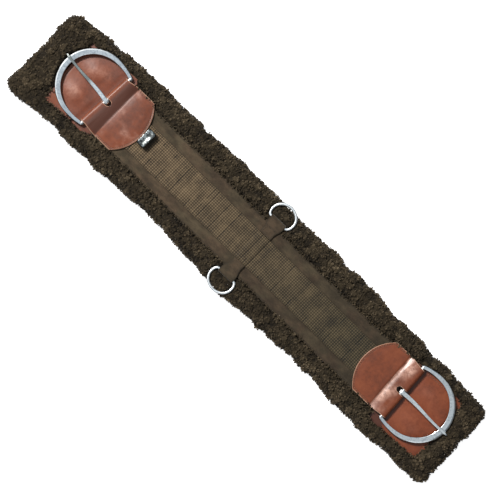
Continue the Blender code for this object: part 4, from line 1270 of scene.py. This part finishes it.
def chape_block(end, slot, sign, edge_y):
    """The part of the chape on one side of its slot; returns points, faces, tones."""
    half_t = LEATHER_T / 2
    width = abs(edge_y - end.bar_y)
    from_edge = np.array([0.0, 0.35, 0.8, 1.5, 2.4, 3.4, 4.4, 6.0]
                         + list(np.linspace(6.0, width - 2.4, 26)[1:])
                         + [width - 1.2, width - 0.5, width])
    from_slot = width - from_edge
    lines = []
    for y, distance in zip(edge_y - sign * from_edge, from_slot):
        line = chape_line(end, y)
        # push the line aside to open the slot, most at the slot itself
        shift = slot * np.clip(1.0 - distance / (width * 0.55), 0.0, 1.0)
        for j in np.flatnonzero(shift > 1e-6):
            line[j] = chape_line(end, y + sign * shift[j])[j]
        lines.append(line)
    grid = np.array(lines)
    cols, rows = grid.shape[:2]
    middle = grid[:, :, :3]
    normal_x, normal_z, part, t = (grid[:, :, k] for k in range(3, 7))
    upper, slope, top = part >= SLOPE, part == SLOPE, part == TOP

    # distances to the cut edges, which are thinned and rounded
    to_side = np.repeat(from_edge[:, None], rows, 1)
    steps = np.linalg.norm(np.diff(middle, axis=1), axis=2)
    run = np.concatenate([np.zeros((cols, 1)), np.cumsum(steps, 1)], 1)
    to_tip = run[:, -1:] - run
    to_end = np.minimum(run, to_tip)
    to_slot = np.where(slot[None] > 0.05, from_slot[:, None], 9.0)
    to_cut = np.minimum(np.minimum(to_side, to_end), to_slot)
    thin = 0.42 + 0.58 * rounded(to_cut / 0.9)
    soft = smooth01(to_cut / 3.0)

    # the needle line sits in a shallow groove, the leather between puffs up
    to_outline = np.minimum(to_side, np.where(top, to_tip, 99.0))
    groove = bell(to_outline - 3.0, 0.85) * top
    puff = smooth01((to_outline - 4.0) / 12.0) * top * 0.45
    to_crease = np.abs(middle[:, :, 0] - crease_x(end, middle[:, :, 1]))
    crease = bell(to_crease, np.where(slope, 5.0, end.crease_width)) * upper
    crease_line = bell(to_crease, 0.9) * upper * end.crease_dark
    wrinkle = 0.07 * vnoise(middle * [1.0, 0.28, 1.0], 3.4, 81) + 0.16 * vnoise(middle, 15.0, 83)
    bulk = end.bulk * vnoise(middle * [1.0, 0.6, 1.0], 21.0, 85)
    lift = upper * ((wrinkle * np.where(slope, 1.3, 0.6) + bulk) * soft + puff
                    - 0.26 * groove - end.crease_depth * crease)
    lift = np.where(slope & (slot[None] > 0.05), np.maximum(lift, -0.05) * 0.3, lift)
    roll = (part == FOLD) * 0.14 * vnoise(middle * [1.0, 0.35, 1.0], 4.2, 87) * soft
    outer, inner = middle.copy(), middle.copy()
    outer_t = half_t * thin + np.maximum(roll, 0.0)
    outer[:, :, 0] += normal_x * outer_t
    outer[:, :, 2] += normal_z * outer_t + np.where(upper, np.maximum(lift, -1.5), 0.0)
    inner[:, :, 0] -= normal_x * half_t * thin
    inner[:, :, 2] -= normal_z * half_t * thin
    inner[:, :, 2] += np.where(upper, np.maximum(lift, 0.0) * 0.5, 0.0)

    offset = cols * rows
    index = np.arange(offset).reshape(cols, rows)
    faces = [grid_quads(cols, rows), grid_quads(cols, rows, base=offset)[:, ::-1]]
    for wall in (index[0], index[:, 0], index[:, -1]):
        faces.append(wall_quads(wall[:-1], wall[1:], offset))
    # slot wall, only where the slot is open
    is_open = slot > 1e-6
    j = np.flatnonzero(is_open[:-1] | is_open[1:])
    faces.append(wall_quads(index[-1][j + 1], index[-1][j], offset))

    cut = np.clip(1.35 - to_cut / 0.95, 0.0, 1.0) * (0.75 + 0.25 * (to_side < to_end))
    # painted shade in the crease and along the needle groove, and on one end over the slope that
    # faces away from the light
    painted_shade = np.clip(0.80 * crease_line + 0.62 * groove
                    + end.slope_dark * slope * smooth01((t + 0.05) / 0.35) * soft, 0.0, 1.0)
    # painted highlight on the slope that faces the light
    gloss_and_highlight = end.slope_shine * slope * smooth01((t - 0.02) / 0.42) * soft \
        * np.clip(0.80 + vnoise(middle, 11.0, 89), 0.0, 1.0)
    # painted highlights and painted shade in patches over the top ply
    patch_noise = vnoise(middle, 11.0, 97) + 0.5 * vnoise(middle, 4.5, 99)
    light_patch_mask = end.blotches * top * soft
    gloss_and_highlight = gloss_and_highlight + light_patch_mask * np.clip(0.32 * patch_noise - 0.06, 0.0, 0.28)
    painted_shade = np.clip(painted_shade + light_patch_mask * np.clip(-0.40 * patch_noise + 0.02, 0.0, 0.35), 0, 1)
    # the underside gets even painted shade
    tones = {"edge": (cut, cut), "painted_shade": (painted_shade, np.full_like(painted_shade, 0.6)),
             "gloss_and_highlight": (gloss_and_highlight, gloss_and_highlight * 0.0)}
    points = np.concatenate([outer.reshape(-1, 3), inner.reshape(-1, 3)])
    tones = {key: np.concatenate([np.ravel(v) for v in pair]) for key, pair in tones.items()}
    return points, np.concatenate(faces), tones


def chape(side, end):
    """Leather turned round the bar, two plies, with the tongue's slot."""
    slot = slot_half_widths(end)
    (points_a, faces_a, tones_a), (points_b, faces_b, tones_b) = (
        chape_block(end, slot, sign, edge_y)
        for sign, edge_y in ((-1.0, CHAPE_Y0), (1.0, CHAPE_Y1)))
    tones = {key: np.concatenate([tones_a[key], tones_b[key]]) for key in tones_a}
    ob = new_mesh("leather_chape_" + side, np.concatenate([points_a, points_b]),
                  np.concatenate([faces_a, faces_b + len(points_a)]), tones, MAT_HIDE)
    fix_normals(ob, weld=True)
    ob.data.shade_smooth()
    register(ob, "hide", "chape_" + side)


def chape_stitches(side, end):
    inset = 3.0

    def on_top(x, y):
        return (x, y, ply_z(y) + LEATHER_T + 0.05)

    straights = []
    for y in (CHAPE_Y1 - inset, CHAPE_Y0 + inset):
        start = crease_x(end, y) - end.out * 3.0
        stop = tip_x(end, y) + end.out * (inset + 3.6)
        straights.append([on_top(start + (stop - start) * k / 8, y) for k in range(9)])
    arc = []
    for k in range(49):
        y = CHAPE_MID + (CHAPE_HALF - inset - 2.6) * (1.0 - 2.0 * k / 48)
        arc.append(on_top(tip_x(end, y) + end.out * inset, y))
    stitches("chape_stitches_" + side, [straights[0] + arc + straights[1][::-1]],
             TAN, "chape_seam_" + side, **LEATHER_SEAM)


def safe(side, end):
    """The flat leather base under the buckle."""
    centre_x, centre_y, width, height, turn = end.safe
    half_u, half_v, corner_r = width / 2, height / 2, 7.0

    def stations(half, count):
        near = np.array([0.0, 0.3, 0.8, 1.6, 2.8, 4.0, 5.2, 7.0])
        middle = np.linspace(-half + 7.0, half - 7.0, count)[1:-1]
        return np.concatenate([-half + near, middle, half - near[::-1]])

    u, v = np.meshgrid(stations(half_u, 64), stations(half_v, 78), indexing="ij")
    # pull the grid's square corners in to a radius
    du = np.maximum(np.abs(u) - (half_u - corner_r), 0.0)
    dv = np.maximum(np.abs(v) - (half_v - corner_r), 0.0)
    pull = np.where((du > 0) & (dv > 0),
                    np.maximum(du, dv) / np.maximum(np.hypot(du, dv), 1e-9), 1.0)
    round_u = np.sign(u) * (np.minimum(np.abs(u), half_u - corner_r) + du * pull)
    round_v = np.sign(v) * (np.minimum(np.abs(v), half_v - corner_r) + dv * pull)
    to_edge = np.minimum(half_u - np.abs(u), half_v - np.abs(v))
    c, s = math.cos(math.radians(turn)), math.sin(math.radians(turn))
    x = centre_x + c * round_u - s * round_v
    y = centre_y + s * round_u + c * round_v
    ground = plan(x, y)
    thinning = 1.0 - rounded(to_edge / 0.9)
    ahead = (x - bar_line_x(end, y)) * end.out
    free = smooth01((ahead - 8.0) / 8.0)
    groove = bell(to_edge - 4.0, 0.7)
    # a soft swelling either side of the middle, where the tongue rests
    lobes = bell(ahead - 40.0, 20.0) * bell(np.abs(y - end.bar_y) - 22.0, 13.0)
    wrinkle = 0.03 * vnoise(ground, 3.0, 91) + 0.30 * vnoise(ground, 24.0, 93)
    top_z = SAFE_TOP - 0.75 * thinning - 0.25 * groove \
        + free * (2.2 * lobes + wrinkle * smooth01((to_edge - 1) / 4) + 0.25)
    top = np.stack([x, y, top_z], -1)
    bottom = np.stack([x, y, SAFE_BOTTOM + 0.55 * thinning], -1)
    cut = np.clip(1.0 - to_edge / 0.9, 0, 1)
    # painted shade along the needle groove, a painted shadow in a band beside the bar, painted
    # shade between the lobes, and even painted shade on the underside
    painted_shade = np.clip(0.5 * groove + end.dark * smooth01((end.dark_reach - ahead) / 3.0), 0, 1)
    painted_shade = np.clip(painted_shade + end.shade * (1.0 - np.clip(1.25 * lobes, 0.0, 1.0))
                    * (ahead > 6.0), 0, 1)
    # gloss on the lobes, which also lays a painted highlight on them
    gloss = lobes * end.gloss * smooth01((ahead - 14.0) / 10.0) \
        * np.clip(0.6 + 0.8 * vnoise(ground, 16.0, 95), 0.0, 1.0)
    ob = closed_sheet("leather_safe_" + side, top, bottom,
                      {"edge": (cut, cut), "painted_shade": (painted_shade, painted_shade * 0 + 0.5),
                       "gloss_and_highlight": (gloss, gloss * 0)}, MAT_SAFE)
    register(ob, "base_hide", "safe_" + side)

    # needle line round the outer part: a straight, a corner, the outer side, mirrored
    inset, seam_r = 4.0, 4.0
    seam_u, seam_v = half_u - inset, half_v - inset
    start = (end.bar_x + end.out * 11.0 - centre_x) * end.out
    back = [(q, seam_v) for q in np.linspace(start, seam_u - seam_r, 12)]
    for k in range(1, 6):
        angle = math.pi / 2 * k / 6
        back.append((seam_u - seam_r + seam_r * math.sin(angle),
                     seam_v - seam_r + seam_r * math.cos(angle)))
    outer = [(seam_u, q) for q in np.linspace(seam_v - seam_r, -(seam_v - seam_r), 20)]
    front = [(q, -r) for q, r in reversed(back)]
    path = [(centre_x + end.out * q * c - r * s, centre_y + end.out * q * s + r * c,
             SAFE_TOP + 0.15) for q, r in back + outer + front]
    stitches("safe_stitches_" + side, [path], TAN, "safe_seam_" + side, **LEATHER_SEAM)


for side, end in ENDS.items():
    chape(side, end)
    chape_stitches(side, end)
    safe(side, end)


# ------------------------------------------------------------------ metal
def keeper():
    """Bent metal band standing on the ribbed webbing, its top pressed hollow."""
    corner_r, thickness = 4.0, 1.5
    x0, width_x = KEEPER_LO[0], KEEPER_HI[0] - KEEPER_LO[0]
    centre_y, centre_z = ((KEEPER_LO[k] + KEEPER_HI[k]) / 2 for k in (1, 2))
    half_y, half_z = ((KEEPER_HI[k] - KEEPER_LO[k]) / 2 - corner_r for k in (1, 2))
    loop = []
    for sign_y, sign_z, first in ((1, 1, 0), (-1, 1, 90), (-1, -1, 180), (1, -1, 270)):
        for k in range(13):
            angle = math.radians(first + 90.0 * k / 12)
            loop.append((0.0, centre_y + sign_y * half_y + corner_r * math.cos(angle),
                         centre_z + sign_z * half_z + corner_r * math.sin(angle)))
    line = resample(loop + loop[:1], 0.6)[0][:-1]
    tangent = np.roll(line, -1, 0) - np.roll(line, 1, 0)
    tangent /= np.linalg.norm(tangent, axis=1)[:, None]
    # columns across the band, as twelfths of its width
    across = np.array([0.0, 0.25, 0.7, 1.4, 2.4, 3.6, 4.8, 6.0, 7.2, 8.4, 9.6, 10.6, 11.3,
                       11.75, 12.0]) / 12.0 * width_x
    to_edge = np.minimum(across, width_x - across)
    thin = 1.0 - 0.5 * (1.0 - np.clip(to_edge / 0.5, 0, 1)) ** 2
    on_top = smooth01((line[:, 2] - (KEEPER_HI[2] - 2.2)) / 1.8)
    hollow = -0.95 * bell(across[None] - width_x / 2, 3.2) * on_top[:, None] \
        * (1.0 - 0.75 * bell(line[:, 1] - centre_y - 8.0, 3.0))[:, None]
    points = []
    for depth in (-0.35 * (1 - thin), -thickness * thin):
        move = depth[None] + hollow
        x = np.broadcast_to(x0 + across[None], move.shape)
        points.append(np.stack([x, line[:, 1:2] + tangent[:, 2:3] * move,
                                line[:, 2:3] - tangent[:, 1:2] * move], -1).reshape(-1, 3))
    rows, cols = len(line), len(across)
    offset = rows * cols
    index = np.arange(offset).reshape(rows, cols)
    first, last = index[:, 0], index[:, -1]
    faces = [grid_quads(rows, cols, close_rows=True),
             grid_quads(rows, cols, close_rows=True, base=offset)[:, ::-1],
             wall_quads(first, np.roll(first, -1), offset),
             wall_quads(last, np.roll(last, -1), offset)[:, ::-1]]
    ob = new_mesh("keeper_band", np.concatenate(points), np.concatenate(faces), None, MAT_DARK_NICKEL)
    register(fix_normals(ob), "nickel", "keeper_loop")


keeper()

# the other metal keeps its CAD shape
for node in CAD_METAL:
    materials = frame["nodes"][node].data.materials
    materials.clear()
    materials.append(MAT_BRIGHT if node.startswith("d_ring") else
                     MAT_TONGUE if node.startswith("tongue") else MAT_NICKEL)


# ------------------------------------------------------------------ stage
def floor():
    """A pale glowing floor that looks dark and unlit in reflections."""
    mesh = bpy.data.meshes.new("floor")
    mesh.from_pydata([(-4, -4, 0), (4, -4, 0), (4, 4, 0), (-4, 4, 0)], [], [(0, 1, 2, 3)])
    ob = bpy.data.objects.new("floor", mesh)
    scene.collection.objects.link(ob)
    mat = material("pale_floor")
    glossy = mat.node("LightPath", {})["Is Glossy Ray"]
    mesh.materials.append(mat.finish(
        Base_Color=mat.mix(glossy, (0.96, 0.96, 0.96), (0.22, 0.23, 0.24)), Roughness=0.95,
        Emission_Color=(1.0, 1.0, 1.0, 1.0),
        Emission_Strength=mat.remap(glossy, to=(0.80, 0.0))))


def studio():
    """A dim even room; metal sees a cool ceiling, bright at -X and dim at +X."""
    scene.world = bpy.data.worlds.new("studio")
    world = Shader(scene.world)
    direction = world.split(world.coord["Generated"])
    across = world.math("MULTIPLY_ADD", direction["X"], 0.5, 0.5)
    reflected = world.ramp(across, (0.0, (1.6, 1.6, 1.6)), (0.26, (1.00, 1.05, 1.08)),
                           (0.36, (0.52, 0.59, 0.65)), (0.50, (0.40, 0.48, 0.55)),
                           (0.57, (0.58, 0.63, 0.66)), (0.66, (0.52, 0.56, 0.58)),
                           (0.80, (0.22, 0.24, 0.26)), (1.0, (0.10, 0.11, 0.12)))
    room = world.ramp(direction["Z"], (0.0, (0.24, 0.24, 0.24)), (1.0, (0.20, 0.21, 0.23)))
    glossy = world.node("LightPath", {})["Is Glossy Ray"]
    background = world.tree.nodes["Background"]
    world.put(world.mix(glossy, room, reflected), background.inputs["Color"])
    world.put(1.0, background.inputs["Strength"])


def area_light(name, location, size, watts, colour):
    """A round light aimed at the origin."""
    data = bpy.data.lights.new(name, "AREA")
    data.shape = "DISK"
    data.size = size
    data.energy = watts
    data.color = colour
    ob = bpy.data.objects.new(name, data)
    ob.location = location
    ob.rotation_euler = (-Vector(location)).to_track_quat("-Z", "Y").to_euler()
    scene.collection.objects.link(ob)


def camera(distance=2.4, view_width=0.715, target=(0.00504, -0.00373, 0.022), turn=44.49):
    """Looks straight down on target, turned by turn degrees; lengths in metres."""
    data = bpy.data.cameras.new("camera")
    ob = bpy.data.objects.new("camera", data)
    scene.collection.objects.link(ob)
    data.sensor_width = 36.0
    data.lens = 36.0 * distance / view_width
    data.clip_end = 20.0
    ob.location = (target[0], target[1], target[2] + distance)
    ob.rotation_euler = (0.0, 0.0, math.radians(turn))
    scene.camera = ob


floor()
studio()
area_light("key", location=(-3.1, 0.5, 4.2), size=0.80, watts=265.0, colour=(1.0, 0.985, 0.96))
area_light("fill", location=(2.4, -1.8, 3.0), size=2.4, watts=12.0, colour=(0.95, 0.98, 1.0))
camera()
scene.view_settings.view_transform = "Standard"
